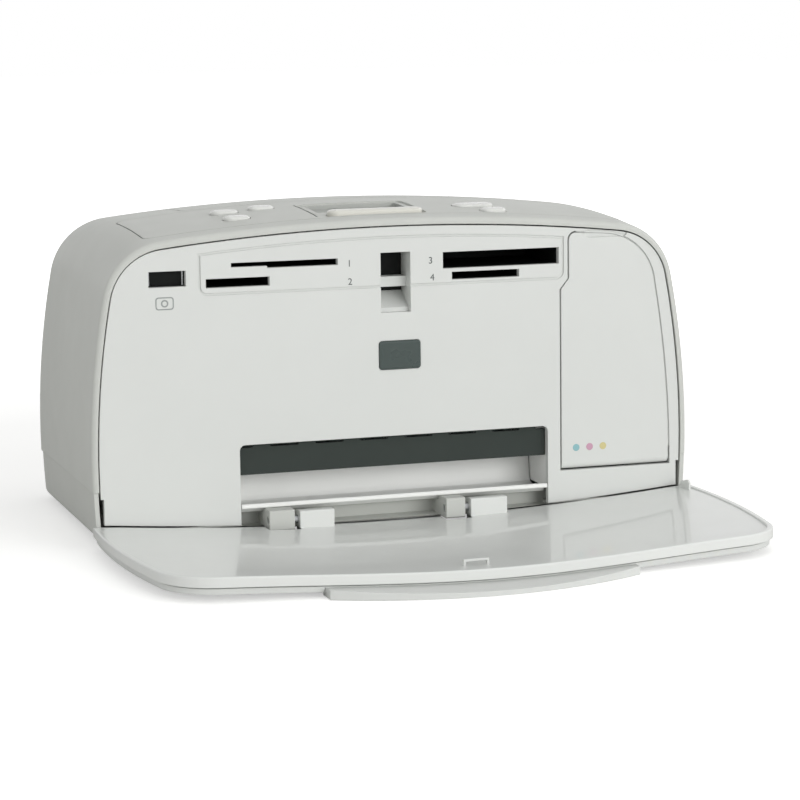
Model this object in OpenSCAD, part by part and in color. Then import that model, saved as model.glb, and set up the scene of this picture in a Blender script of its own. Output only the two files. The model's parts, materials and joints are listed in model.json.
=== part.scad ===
// Compact photo printer with a fold-down output tray and a paper input at the top of its back.
// Millimetres. X runs to the right, Y to the back and Z up. The origin lies on the table, in the
// middle of the footprint that the printer has while its output tray is open. Inside the modules
// y = 0 is the plane of the front rim, and in_frame() moves the piece to its place.

/* [Casing] */
// Width of the casing at its widest
case_w = 220.6; // [219:0.2:224]
// Depth of the casing, from its front rim to its back
case_d = 110.8; // [109:0.2:114]
// Height of the crown of the top
case_h = 112.8; // [112.4:0.2:115]
// Radius of the arch across the front
arch_r = 735; // [700:5:900]
// Radius of the bulge of each side
side_r = 310; // [290:5:340]
// Height at which the sides are widest
widest_z = 27; // [26:0.5:30]
// Radius of the two top corners of the front arch
corner_r = 23.5; // [22:0.5:24]
// Radius of the curve of the top from front to back
crown_r = 470; // [450:5:550]
// How far the crown of the top lies behind the front rim
crown_y = 54; // [50:1:58]
// Radius of the rounding at the back
rear_r = 14.5; // [14:0.5:15.5]
// Rounding of the front rim
rim_r = 1.8; // [1:0.1:2.2]
// Thickness of the top wall
top_wall = 2.5; // [2.4:0.1:2.8]
// Thickness of the side and back walls
side_wall = 2.3; // [2:0.1:2.5]
// Height of the seam between the casing and the tub
seam_z = 19.5; // [18:0.5:20]

/* [Tub and feet] */
// Height of the tub's underside over the table
foot_h = 2.2; // [1.8:0.1:2.4]
// Thickness of the tub's floor
tub_floor = 2; // [1.6:0.1:2.2]
// Thickness of the tub's sides
tub_wall = 1.6; // [1.2:0.1:1.8]
// How far the tub's sides stand in from the casing's
tub_step = 0.5; // [0.3:0.1:0.8]
// Radius of the rubber feet
foot_r = 6; // [5:0.5:7]

/* [Front] */
// Thickness of the front plate
fascia_t = 2.4; // [2:0.1:2.6]
// How far the front plate lies behind the rim
fascia_back = 0.4; // [0.2:0.1:0.6]
// Seam between the front plate and the casing
seam_gap = 0.5; // [0.3:0.1:0.6]
// Height of the lower edge of the front plate
fascia_foot = 5.5; // [5.3:0.1:5.8]
// Width of the paper exit
exit_w = 115.8; // [115:0.2:117]
// Height of the top of the paper exit
exit_top = 32.8; // [32:0.2:33.2]
// Height of the front lip of the exit ramp
exit_lip = 10.2; // [10.1:0.1:11]
// Left edge of the cartridge door
door_left = 61.6; // [61.2:0.2:63]
// Lower edge of the cartridge door
door_foot = 16.6; // [16:0.2:17]
// Height of the step in the left edge of the cartridge door
door_jog_z = 81.8; // [80:0.2:83]
// Thickness of the cartridge door
door_t = 2.4; // [2:0.1:2.6]

/* [Output tray] */
// Height of the tray's hinge axis
hinge_z = 6; // [5.9:0.1:6.4]
// How far the hinge axis lies in front of the rim
hinge_y = 2.5; // [2.3:0.1:3]
// Radius of the hinge pin
pin_r = 1.5; // [1.2:0.1:1.8]
// Radius of the hinge knuckles
knuckle_r = 3.4; // [3.3:0.1:3.8]
// Thickness of the tray's floor
tray_floor_t = 2.5; // [2:0.1:2.6]
// Height of the rim around the tray's floor
tray_rim_h = 2.5; // [2:0.1:2.6]
// Width of the rim around the tray's floor
tray_rim_w = 2.2; // [1.8:0.1:3]
// Thickness of the tray's outer cover
cover_t = 2; // [1.6:0.1:2.2]
// Height of the closed tray
tray_top = 108.4; // [108:0.1:109.4]
// Radius of the arch of the tray's front edge
tray_arch_r = 500; // [450:10:700]
// How far the tray's sides stand out past the casing's
tray_over = 1.2; // [0.8:0.1:1.4]
// Width of the grip on the tray's front edge
grip_w = 110; // [90:1:120]
// How far the grip stands out past the tray
grip_reach = 13; // [10:0.5:16]

/* [Control panel] */
// Half of the control panel's width
panel_half = 87.7; // [86:0.5:89]
// Where the control panel starts behind the rim
panel_front = 8; // [7:0.5:9]
// Where the control panel ends behind the rim
panel_back = 57; // [55:0.5:58]
// Height of the buttons over the panel
button_rise = 1.3; // [0.8:0.1:1.6]
// Travel of the buttons
button_travel = 0.8; // [0.5:0.1:0.85]
// Room around each button
button_gap = 0.35; // [0.3:0.05:0.5]
// Width of the display
display_w = 34; // [30:1:36]
// Depth of the display
display_d = 19; // [17:1:20]

/* [Paper path] */
// Width of the widest paper
paper_w = 102; // [100:1:103]
// Height of the paper on its way under the print head
paper_z = 24.5; // [24.3:0.1:24.8]
// Room between two rollers that meet at the paper
nip = 0.2; // [0.1:0.05:0.4]
// Radius of the feed roller
feed_r = 6; // [5.5:0.1:6]
// Radius of the output roller's tyres
output_r = 4; // [3.6:0.1:4]
// Radius of the star wheels
star_r = 3; // [2.6:0.1:3.1]
// Radius of the pinch rollers
pinch_r = 3; // [2.6:0.1:3]
// Radius of the pick roller
pick_r = 7; // [6.5:0.1:7]
// Distance of the feed roller behind the rim
feed_y = 64; // [63.5:0.1:64.5]
// Distance of the output roller behind the rim
output_y = 26; // [25.5:0.1:26.5]
// Distance of the pick roller behind the rim
pick_y = 77; // [76.6:0.1:77.4]

/* [Gears] */
// Module of the gears
gear_m = 0.8; // [0.78:0.01:0.82]
// Width of the gears
gear_w = 4; // [3:0.1:4.4]
// Teeth of the gear on the feed roller
feed_teeth = 30; // [28:1:31]
// Teeth of the gear on the output roller
output_teeth = 20; // [19:1:21]
// Teeth of the idler gear
idler_teeth = 24; // [23:1:25]
// Teeth of the gear on the pick roller
pick_teeth = 24; // [23:1:25]
// Teeth of the feed motor's pinion
pinion_teeth = 12; // [12:1:13]

/* [Carriage] */
// Width of the carriage
carriage_w = 35; // [34:0.5:36]
// How far in from the casing's widest the middle of the parked carriage stands
park_in = 26.8; // [26.4:0.1:27.4]
// Radius of the guide rod
rod_r = 4; // [3.5:0.1:4.2]
// Radius of the belt pulleys
pulley_r = 5; // [4.6:0.1:5.2]
// Thickness of the carriage belt
belt_t = 1.2; // [0.8:0.1:1.3]
// Width of the ink cartridge
ink_w = 27.8; // [26:0.2:28]
// Height of the print head over the paper
head_gap = 1.8; // [1.6:0.1:2.4]

/* [Hidden] */
$fn = 48;
side_steps = 4;
corner_steps = 7;
arch_steps = 5;
body_steps = 5;
round_step = 15;
eps = 0.01;
run = 0.05;
slide = 0.3;
seat = 0.1;
case_half = case_w / 2;
park_x = case_half - park_in;
fascia_y = fascia_back;
fascia_rear = fascia_y + fascia_t;
floor_z = foot_h + tub_floor;
fold_y = hinge_z - hinge_y;
skin_z = 1;
tray_floor_z = skin_z + cover_t;
tray_deck_z = tray_floor_z + tray_floor_t;
tray_heel = 4.5;
tray_corner_r = corner_r - 2.5;
tray_front = tray_top - fold_y;
tray_reach = tray_front + grip_reach;
face_y = (tray_reach - case_d) / 2;

// ---- Outlines and helpers ----

module in_frame() {
    translate([0, face_y, 0]) children();
}

// Extrudes an outline drawn in x and z from y0 back over the length t
module upright(y0, t) {
    translate([0, y0 + t, 0]) rotate([90, 0, 0]) linear_extrude(t) children();
}

// Extrudes an outline drawn in y and z from x0 to the right over the width w
module across(x0, w) {
    translate([x0, 0, 0]) rotate([90, 0, 90]) linear_extrude(w) children();
}

// A round bar along X between x0 and x1, at height z and y behind the rim
module bar_x(x0, x1, y, z, r) {
    across(x0, x1 - x0) translate([y, z]) circle(r);
}

// A round bar along Y between y0 and y1
module bar_y(y0, y1, x, z, r) {
    upright(y0, y1 - y0) translate([x, z]) circle(r);
}

// A box between two corners
module block(low, high) {
    translate(low) cube(high - low);
}

// A rectangle with round corners about its centre
module rounded(w, d, r) {
    square([w - 2 * r, d], center = true);
    square([w, d - 2 * r], center = true);
    for (x = [-1, 1], y = [-1, 1]) {
        translate([x * (w / 2 - r), y * (d / 2 - r)]) circle(r);
    }
}

function arc(c, r, a0, a1, n) =
    [for (i = [0:n]) let (a = a0 + (a1 - a0) * i / n) c + r * [cos(a), sin(a)]];
function tail(v) = [for (i = [1:len(v) - 1]) v[i]];
function angle_of(v) = atan2(v[1], v[0]);

// Where two circles about p and q meet, on the left of the line from p to q when side is 1
function meet(p, rp, q, rq, side) =
    let (v = q - p, d = norm(v), u = v / d, x = (rp * rp - rq * rq + d * d) / (2 * d))
    p + x * u + side * sqrt(rp * rp - x * x) * [-u[1], u[0]];

// Right half of the arch outline, from the height foot up the side and over to the middle
function half_arch(top, half, r, foot, over_r) =
    let (t = [0, top - over_r],
         s = [half - side_r, widest_z],
         c = meet(t, over_r - r, s, side_r - r, -1),
         up = angle_of(c - s),
         over = angle_of(c - t))
    concat(arc(s, side_r, asin((foot - widest_z) / side_r), up, side_steps),
           tail(arc(c, r, up, over, corner_steps)),
           tail(arc(t, over_r, over, 90, arch_steps)));

// The whole arch outline, anticlockwise from the foot of its right side
function arch(top, half, r, foot, over_r = arch_r) =
    let (h = half_arch(top, half, r, foot, over_r), n = len(h))
    concat(h, [for (i = [n - 2:-1:0]) [-h[i][0], h[i][1]]]);

// Height of the middle of the top at y, and of the top at x and y
function top_at(y) = case_h - pow(y - crown_y, 2) / (2 * crown_r);
function surface_at(x, y) = top_at(y) - x * x / (2 * arch_r);

// Half of the width of the casing at a height
function side_at(z) = case_half - side_r + sqrt(side_r * side_r - pow(z - widest_z, 2));

// One ring of the casing at y, drawn in from its full outline by shrink
function case_ring(y, shrink, top_in, side_in, foot) =
    [for (p = arch(top_at(y) - top_in - shrink, case_half - side_in - shrink,
                   corner_r - (top_in + side_in) / 2 - shrink, foot)) [p[0], y, p[1]]];

// A solid through rings of equally many points, each anticlockwise seen from the first ring
module loft(rings) {
    n = len(rings[0]);
    last = (len(rings) - 1) * n;
    sides = [for (i = [0:len(rings) - 2], j = [0:n - 1])
        let (a = i * n + j, b = i * n + (j + 1) % n) each [[a, b, b + n], [a, b + n, a + n]]];
    polyhedron([for (r = rings) each r],
               concat([[for (j = [n - 1:-1:0]) j]], sides, [[for (j = [0:n - 1]) last + j]]));
}

// The casing as a full body, without and with its walls taken off
module case_body() {
    body_end = case_d - rear_r;
    loft(concat(
        [for (a = [0:30:60]) case_ring(rim_r * (1 - cos(a)), rim_r * (1 - sin(a)), 0, 0, seam_z)],
        [for (i = [0:body_steps])
            case_ring(rim_r + (body_end - rim_r) * i / body_steps, 0, 0, 0, seam_z)],
        [for (a = [round_step:round_step:90])
            case_ring(body_end + rear_r * sin(a), rear_r * (1 - cos(a)), 0, 0, seam_z)]));
}

module case_hollow() {
    r = rear_r - side_wall;
    body_end = case_d - rear_r;
    loft(concat(
        [for (i = [0:body_steps])
            case_ring(-1 + (body_end + 1) * i / body_steps, 0, top_wall, side_wall, seam_z - 1)],
        [for (a = [round_step:round_step:90])
            case_ring(body_end + r * sin(a), r * (1 - cos(a)), top_wall, side_wall,
                      seam_z - 1)]));
}

module case_shell() {
    difference() {
        case_body();
        case_hollow();
    }
}

// ---- Casing ----

post_places = [[-1, 24], [1, 24], [-1, case_d - 13], [1, case_d - 13]];
post_r = 3.2;
post_x = case_half - 9;
post_top = 32;
screw_r = 1.3;

flap_half = 62;
flap_front = 62;
flap_barrel_r = 1.5;
flap_axis = [case_d - flap_barrel_r, case_h - 36];
flap_pin_r = 0.8;
hinge_pin_l = 2;

rear_half = 45;
rear_low = 26;
rear_high = 70;
rear_barrel_r = 1.7;
rear_axis = [case_d - rear_barrel_r, rear_low + rear_barrel_r];
rear_pin_r = 0.9;

usb_b_at = [-84, 28];
usb_b_w = 9;
usb_b_h = 8;
inlet_at = [-66, 28];
inlet_r = 3.8;
inlet_bore_r = 2.75;
port_gap = 0.3;

module panel_plan(gap) {
    translate([0, (panel_front + panel_back) / 2])
        rounded(2 * panel_half + 2 * gap, panel_back - panel_front + 2 * gap, 4 + gap);
}

// The room of the input flap, from its hinge axis up, grown by gap
module flap_region(gap) {
    depth = case_d + 10 - flap_front;
    translate([0, flap_front + depth / 2, flap_axis[1] - (gap > 0 ? flap_barrel_r + gap : 0)])
        linear_extrude(case_h) rounded(2 * flap_half + 2 * gap, depth + 2 * gap, 2 + gap);
}

module top_casing() {
    color("gainsboro") in_frame() difference() {
        union() {
            case_shell();
            for (p = post_places) {
                case_post(p[0] * post_x, p[1], p[0]);
            }
            for (s = [-1, 1]) {
                hinge_ear(s, rear_half, rear_axis);
                hinge_ear(s, flap_half, flap_axis);
            }
        }
        translate([0, 0, seam_z]) linear_extrude(case_h) panel_plan(seam_gap);
        flap_region(seam_gap);
        upright(case_d - side_wall - 6, side_wall + 7)
            translate([0, (rear_low + rear_high) / 2])
            square([2 * rear_half + 2 * seam_gap, rear_high - rear_low + 2 * seam_gap],
                   center = true);
        upright(case_d - side_wall - 1, side_wall + 2) {
            translate(usb_b_at)
                square([usb_b_w + 2 * port_gap, usb_b_h + 2 * port_gap], center = true);
            translate(inlet_at) circle(inlet_r + port_gap);
        }
        for (p = post_places) {
            translate([p[0] * post_x, p[1], seam_z - 1])
                cylinder(r = screw_r, h = post_top - seam_z - 1);
        }
        hinge_bore(rear_half, rear_axis, rear_pin_r);
        hinge_bore(flap_half, flap_axis, flap_pin_r);
    }
}

// A screw post with a rib out to the side wall
module case_post(x, y, side) {
    translate([x, y, seam_z]) cylinder(r = post_r, h = post_top - seam_z);
    rib = side_at(seam_z) - side_wall - post_x + 1;
    translate([side > 0 ? x : x - rib, y - 1, seam_z]) cube([rib, 2, post_top - seam_z]);
}

// An ear inside the back wall, beside a door of half the width half, that takes the door's pin
module hinge_ear(side, half, axis) {
    x0 = side > 0 ? half + seam_gap : -half - seam_gap - 3;
    block([x0, case_d - side_wall - 1.5, axis[1] - 2.5],
          [x0 + 3, case_d - side_wall + 0.5, axis[1] + 2.5]);
}

// The bores for the two pins of such a door
module hinge_bore(half, axis, pin_r) {
    for (x0 = [half, -half - hinge_pin_l - 0.5]) {
        bar_x(x0, x0 + hinge_pin_l + 0.5, axis[0], axis[1], pin_r + run);
    }
}

// One ring of the tub at height z, clockwise seen from above
function tub_ring(z, shrink, wall, front) =
    let (h = side_at(z) - tub_step - wall - shrink,
         b = case_d - tub_step - wall - shrink,
         r = rear_r - wall - shrink)
    [for (p = concat([[-h, front + shrink]],
                     arc([-h + r, b - r], r, 180, 90, 6),
                     arc([h - r, b - r], r, 90, 0, 6),
                     [[h, front + shrink]])) [p[0], p[1], z]];

tub_round = 3;
tub_front = 0.4;
sill_z = fascia_foot - 0.3;
bay_half = exit_w / 2;
bay_back = 10;
bay_wall = 1.6;
bay_floor = 3.2;
lug_places = [[-49.2, -40.2], [15.6, 22.6]];
arm_places = [[-38.4, -26], [24.6, 38.2]];
lug_r = 3.4;
chassis_z = 6;
stand_places = [[-70, 47], [52, 47], [-30, 47], [96, 47]];
shelf_x = [-92, -57];
shelf_top = usb_b_at[1] - usb_b_h / 2 - 1.5;

module bottom_tub() {
    color("lightgray") in_frame() difference() {
        union() {
            difference() {
                loft(concat(
                    [for (a = [0:30:60])
                        tub_ring(foot_h + tub_round * (1 - cos(a)), tub_round * (1 - sin(a)), 0,
                                 tub_front)],
                    [for (z = [foot_h + tub_round, 12, seam_z]) tub_ring(z, 0, 0, tub_front)]));
                loft([for (z = [floor_z, 8, 12, seam_z + 1])
                    tub_ring(z, 0, tub_wall + (z < 8 ? 1.4 : 0), tub_front + tub_wall)]);
                loft([for (z = [sill_z, 12, seam_z + 1]) tub_ring(z, 0, tub_wall, -1)]);
                block([-bay_half, -1, bay_floor], [bay_half, bay_back, seam_z + 1]);
            }
            block([-bay_half - 1, bay_back, bay_floor - 0.5],
                  [bay_half + 1, bay_back + bay_wall, exit_lip - 0.2]);
            for (x = lug_places) {
                hinge_lug(x[0], x[1]);
            }
            for (p = stand_places) {
                translate([p[0], p[1], floor_z - 0.5]) cylinder(r = 4, h = chassis_z - floor_z + 0.5);
            }
            for (p = post_places) {
                translate([p[0] * post_x, p[1], floor_z - 0.5])
                    cylinder(r = post_r + 0.6, h = seam_z - floor_z + 0.5);
            }
            block([shelf_x[0], case_d - 16, floor_z - 0.5],
                  [shelf_x[1], case_d - 14, shelf_top]);
            block([shelf_x[0], case_d - 14, shelf_top - 1.6],
                  [shelf_x[1], case_d - 4, shelf_top]);
        }
        for (p = foot_places) {
            translate([p[0] * foot_x, p[1], foot_h - 1]) cylinder(r = foot_r + seat, h = 2);
        }
        for (p = post_places) {
            translate([p[0] * post_x, p[1], 0]) cylinder(r = screw_r + 0.3, h = seam_z + 1);
            translate([p[0] * post_x, p[1], 0]) cylinder(r = 3, h = foot_h + 3);
        }
    }
}

// A fixed lug of the tray's hinge, from the back of the recess to the hinge axis
module hinge_lug(x0, x1) {
    difference() {
        union() {
            bar_x(x0, x1, -hinge_y, hinge_z, lug_r);
            block([x0, -hinge_y, bay_floor - 0.5], [x1, bay_back + 0.5, hinge_z + 2.4]);
        }
        bar_x(x0 - 1, x1 + 1, -hinge_y, hinge_z, pin_r + run);
    }
}

foot_places = [[-1, 12], [1, 12], [-1, case_d - 26], [1, case_d - 26]];
foot_x = 84;

module rubber_feet() {
    color("dimgray") in_frame() for (p = foot_places) {
        translate([p[0] * foot_x, p[1], 0]) {
            cylinder(r1 = foot_r - 0.6, r2 = foot_r, h = 0.6);
            translate([0, 0, 0.6]) cylinder(r = foot_r, h = foot_h + 0.4);
        }
    }
}

module case_screws() {
    color("silver") in_frame() for (p = post_places) {
        translate([p[0] * post_x, p[1], foot_h + 1.6]) {
            difference() {
                cylinder(r = 2.6, h = 1.4);
                translate([0, 0, -eps]) cylinder(r = 1.2, h = 0.8, $fn = 6);
            }
            cylinder(r = screw_r - 0.05, h = 22);
        }
    }
}

// ---- Front plate ----

reader_z = case_h - 28.8;
usb_low = [-88.7, reader_z + 5.1];
usb_high = [-75.6, reader_z + 10.5];
sm_low = [-59.6, reader_z + 10.2];
sm_high = [-21.4, reader_z + 12.4];
sm_step = 12.8;
ms_low = [-68.6, reader_z + 4.1];
ms_high = [-46, reader_z + 7.2];
cf_low = [17.2, reader_z + 7.2];
cf_high = [60.8, reader_z + 13];
sd_low = [20.5, reader_z + 3.2];
sd_high = [45.7, reader_z + 5.9];
latch_x = [-5.8, 5.1];
latch_z = [reader_z - 7.4, reader_z - 0.8, reader_z + 13.7];
latch_depth = 11;
badge_at = [0.8, 61.5];
badge_w = 15.2;
badge_h = 10.1;
badge_t = 0.9;
border_low = [-71.2, reader_z + 1.5];
border_right = 62.7;
border_drop = 3.7;
border_w = 0.8;
border_depth = 0.4;
rim_gap_top = top_at(0) - top_wall;

module slot_at(low, high) {
    translate(low) square(high - low);
}

// Outline of the area of the card slots, drawn in by inset
module border_outline(inset) {
    intersection() {
        polygon(arch(rim_gap_top - border_drop - inset, case_half - side_wall - border_drop,
                     corner_r - 3, fascia_foot));
        slot_at(border_low + [inset, inset], [border_right - inset, case_h]);
    }
}

// Outline of the cartridge door, grown by g
door_tilt = 4.8;
door_corner_r = 20;
door_corner = [case_half - 32.5, case_h - 31.5];
door_jog = 3.1;

function door_outline(g) =
    let (r = door_corner_r + g,
         side = door_corner + r * [cos(door_tilt), sin(door_tilt)],
         low = door_foot - g,
         crest = door_corner + r * [cos(87), sin(87)],
         left = door_left + door_jog - g)
    concat([[door_left - g, low], [side[0] + (side[1] - low) * tan(door_tilt), low]],
           arc(door_corner, r, door_tilt, 87, 6),
           [[left, crest[1] + (crest[0] - left) * tan(3)], [left, door_jog_z + 3.9],
            [door_left - g, door_jog_z]]);

module front_fascia() {
    color("gainsboro") in_frame() difference() {
        union() {
            upright(fascia_y, fascia_t)
                polygon(arch(rim_gap_top - seam_gap, case_half - side_wall - seam_gap,
                             corner_r - 3 - seam_gap, fascia_foot));
            block([latch_x[0] - 1.4, fascia_rear - eps, latch_z[0] - 1.4],
                  [latch_x[1] + 1.4, fascia_rear + latch_depth, latch_z[2] + 0.8]);
            for (x = [door_left - seam_gap - door_ear_t, door_right + seam_gap]) {
                block([x, fascia_rear - eps, ear_slot_top],
                      [x + door_ear_t, door_axis[0] + 2.4, door_axis[1] + 2.4]);
            }
        }
        upright(-1, fascia_rear + 2) {
            slot_at([-exit_w / 2, 0], [exit_w / 2, exit_top - 2]);
            slot_at([2 - exit_w / 2, 0], [exit_w / 2 - 2, exit_top]);
            for (s = [-1, 1]) {
                translate([s * (exit_w / 2 - 2), exit_top - 2]) circle(2);
            }
            slot_at(usb_low, usb_high);
            slot_at([sm_low[0], sm_high[1] - 1.5], sm_high);
            slot_at([sm_low[0] + sm_step, sm_low[1]], sm_high);
            slot_at(ms_low, ms_high);
            slot_at(cf_low, cf_high);
            slot_at(sd_low, sd_high);
            polygon(door_outline(seam_gap));
        }
        across(latch_x[0], latch_x[1] - latch_x[0])
            polygon([[-1, latch_z[0] - 0.8], [fascia_y, latch_z[0]],
                     [fascia_y + latch_depth, latch_z[1]],
                     [fascia_y + latch_depth, latch_z[2]], [-1, latch_z[2]]]);
        upright(-1, fascia_y + 1 + border_depth) difference() {
            border_outline(0);
            border_outline(border_w);
        }
        upright(-1, fascia_y + 1.6) translate(badge_at)
            rounded(badge_w + 2 * seat, badge_h + 2 * seat, 1.2);
        bar_x(door_left - seam_gap - door_ear_t, door_right + seam_gap + door_ear_t,
              door_axis[0], door_axis[1], door_pin_r + run);
        for (s = [-1, 1]) {
            block([s > 0 ? ear_slot : -case_half, -1, 0],
                  [s > 0 ? case_half : -ear_slot, fascia_rear + 1, ear_slot_top]);
        }
    }
    color("whitesmoke") in_frame()
        block([latch_x[0] - 0.2, fascia_y + 5, latch_z[1] + 2],
              [latch_x[1] + 0.2, fascia_rear + latch_depth - 2, latch_z[1] + 5.6]);
}

module badge_plate() {
    color("darkslategray") in_frame() upright(fascia_y + 0.6 - badge_t, badge_t)
        translate(badge_at) rounded(badge_w, badge_h, 1.1);
}

ramp_top = [20.5, paper_z - 2.2];
ramp_half = exit_w / 2 - seam_gap;
cheek_t = 1.6;

module exit_ramp() {
    color("white") in_frame() {
        across(-ramp_half, 2 * ramp_half)
            polygon([[fascia_y, exit_lip], [fascia_y, exit_lip + 1], ramp_top,
                     [ramp_top[0], ramp_top[1] - 2], [fascia_y + 3, exit_lip]]);
        for (x = [-ramp_half - seam_gap - cheek_t, ramp_half + seam_gap]) {
            block([x, fascia_rear + 0.1, exit_lip], [x + cheek_t, 17.5, exit_top + 1]);
        }
        for (x = [-ramp_half - seam_gap - 1, ramp_half - 1]) {
            block([x, 8, exit_lip + 2.8], [x + seam_gap + 2, 16, exit_lip + 5]);
        }
    }
}

output_z = paper_z - nip / 2 - output_r;
star_z = paper_z + nip / 2 + star_r;
star_pitch = 16.5;
star_count = 6;
star_pin_r = 0.8;
bridge_z = exit_top - 0.8;
bridge_half = exit_w / 2 - 1.4;

module star_wheel_bridge() {
    color("dimgray") in_frame() difference() {
        union() {
            block([-bridge_half, fascia_rear + 0.2, bridge_z], [bridge_half, 31, bridge_z + 2]);
            for (i = [0:star_count]) {
                x = (i - star_count / 2) * star_pitch;
                block([x - 2, fascia_rear + 0.2, bridge_z - 1.4], [x + 2, 22, bridge_z + eps]);
                block([x - 1.5, output_y - 2.4, star_z - 1.8],
                      [x + 1.5, output_y + 2.4, bridge_z + eps]);
            }
            for (x = [-exit_w / 2 - cheek_t, exit_w / 2 - 1.5]) {
                block([x, 6, bridge_z + 2 - eps], [x + cheek_t + 1.5, 28, bridge_z + 3.6]);
            }
        }
        bar_x(-bridge_half - 1, bridge_half + 1, output_y, star_z, star_pin_r + run);
    }
}

module star_wheels() {
    color("silver") in_frame() {
        bar_x(-star_pitch * star_count / 2 - 3, star_pitch * star_count / 2 + 3, output_y, star_z,
              star_pin_r);
        for (i = [0:star_count - 1]) {
            x = (i - (star_count - 1) / 2) * star_pitch;
            bar_x(x - 3, x + 3, output_y, star_z, 1.6);
            for (dx = [-2, 2]) {
                across(x + dx - 0.3, 0.6) translate([output_y, star_z]) star_outline();
            }
        }
    }
}

// A thin wheel with pointed teeth
module star_outline() {
    n = 16;
    polygon([for (k = [0:2 * n - 1]) (k % 2 == 0 ? star_r : star_r - 0.9)
        * [cos(180 * k / n), sin(180 * k / n)]]);
}

// ---- Cartridge door ----

door_barrel_r = 1.8;
door_axis = [fascia_y + door_barrel_r, door_foot + door_barrel_r];
door_pin_r = 0.9;
door_right = door_outline(0)[1][0];
door_ear_t = 1.3;

module cartridge_door() {
    color("gainsboro") in_frame() difference() {
        union() {
            upright(fascia_y, door_t) difference() {
                polygon(door_outline(0));
                slot_at([0, 0], [case_w, door_axis[1]]);
            }
            bar_x(door_left, door_right - 0.3, door_axis[0], door_axis[1], door_barrel_r);
            bar_x(door_left - seam_gap - door_ear_t + seat, door_right + seam_gap + door_ear_t - seat,
                  door_axis[0], door_axis[1], door_pin_r);
            block([door_left + 3, fascia_rear - eps, door_axis[1] + 6],
                  [door_left + 4.2, fascia_rear + 2.2, door_jog_z - 6]);
            block([door_right - 10, fascia_rear - eps, door_axis[1] + 6],
                  [door_right - 8.8, fascia_rear + 2.2, door_jog_z - 6]);
        }
        upright(-1, fascia_y + 2.2) translate([door_corner[0] + 1.4, door_corner[1] + 20.2])
            rounded(17, 4, 1.8);
    }
}

// ---- Control panel ----

// Each button's middle, width and depth
menu_at = [-52.5, 37, 10, 6];
layout_at = [-52, 21, 9.5, 6];
save_at = [-38.5, 39, 9.5, 6];
select_at = [-3.5, 14, 31, 7];
print_at = [36.5, 24, 15, 6.5];
cancel_at = [40.5, 13, 9.5, 6];
buttons = [menu_at, layout_at, save_at, select_at, print_at, cancel_at];
display_at = [-5, 31];
recess_y = [9.3, 42];
recess_depth = 0.6;
glass_t = 1.6;
glass_top = case_h - 2.2;
board_t = 1.2;
button_board_z = case_h - 12.2;
dome_h = 1.5;
press_room = 0.1;

module pill(at, grow) {
    w = at[2] + 2 * grow;
    d = at[3] + 2 * grow;
    translate([at[0], at[1]]) {
        square([w - d, d], center = true);
        for (s = [-1, 1]) {
            translate([s * (w - d) / 2, 0]) circle(d / 2);
        }
    }
}

module control_panel() {
    color("whitesmoke") in_frame() difference() {
        intersection() {
            case_shell();
            translate([0, 0, seam_z]) linear_extrude(case_h) panel_plan(0);
        }
        translate([0, 0, seam_z]) linear_extrude(case_h) {
            for (b = buttons) {
                pill(b, button_gap);
            }
            translate(display_at) rounded(display_w + 0.4, display_d + 0.4, 1.5);
        }
        difference() {
            translate([0, 0, seam_z]) linear_extrude(case_h)
                translate([display_at[0], (recess_y[0] + recess_y[1]) / 2])
                rounded(display_w + 5.5, recess_y[1] - recess_y[0], 2);
            translate([0, 0, -recess_depth]) case_body();
        }
    }
}

// A pill-shaped button with a flange under the panel and a stem down to its switch
module button(at) {
    low = min([for (x = [-1, 1], y = [-1, 1])
        surface_at(at[0] + x * (at[2] / 2 + 1), at[1] + y * (at[3] / 2 + 1))]);
    flange = low - top_wall - slide;
    top = surface_at(at[0], at[1]) + button_rise;
    foot = button_board_z + board_t + dome_h + button_travel + press_room;
    translate([0, 0, flange]) linear_extrude(top - 0.5 - flange) pill(at, 0);
    translate([0, 0, top - 0.5 - eps]) linear_extrude(0.5) pill(at, -0.5);
    translate([0, 0, flange - 1]) linear_extrude(1 + eps) pill(at, 1);
    translate([at[0], at[1], foot]) cylinder(r = 1.6, h = flange - foot);
}

module menu_button() {
    color("white") in_frame() button(menu_at);
}

module layout_button() {
    color("white") in_frame() button(layout_at);
}

module save_button() {
    color("white") in_frame() button(save_at);
}

module select_pad() {
    color("ivory") in_frame() button(select_at);
}

module print_button() {
    color("white") in_frame() button(print_at);
}

module cancel_button() {
    color("white") in_frame() button(cancel_at);
}

module display_window() {
    color("dimgray") in_frame() translate([0, 0, glass_top - glass_t]) linear_extrude(glass_t)
        translate(display_at) rounded(display_w, display_d, 1.3);
}

module display_module() {
    color("slategray") in_frame() translate([0, 0, button_board_z + board_t + seat])
        linear_extrude(glass_top - glass_t - button_board_z - board_t - 2 * seat)
        translate(display_at) square([display_w - 1, display_d - 1], center = true);
}

module button_board() {
    color("seagreen") in_frame() {
        block([-panel_half + 24, panel_front, button_board_z],
              [panel_half - 24, panel_back - 6, button_board_z + board_t]);
        for (b = buttons) {
            translate([b[0], b[1], button_board_z + board_t - eps])
                cylinder(r = 2, h = dome_h + eps);
        }
        for (x = [-panel_half + 27, panel_half - 27]) {
            translate([x, 12, button_board_z + board_t - eps])
                cylinder(r = 2.5, h = surface_at(x + sign(x) * 2.5, 9.5) - top_wall - slide
                                      - button_board_z - board_t);
        }
    }
}

// ---- Electronics ----

main_board_z = reader_z - board_t;
socket_y = fascia_rear + slide;
socket_d = 30;
socket_wall = 1.2;

// A card connector: a block on the board with a slot behind the front plate's slot
module socket(low, high, foot, depth) {
    difference() {
        block([low[0] - socket_wall, socket_y, foot],
              [high[0] + socket_wall, socket_y + depth, high[1] + socket_wall]);
        block([low[0], socket_y - 1, low[1]], [high[0], socket_y + depth - 4, high[1]]);
    }
}

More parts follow.
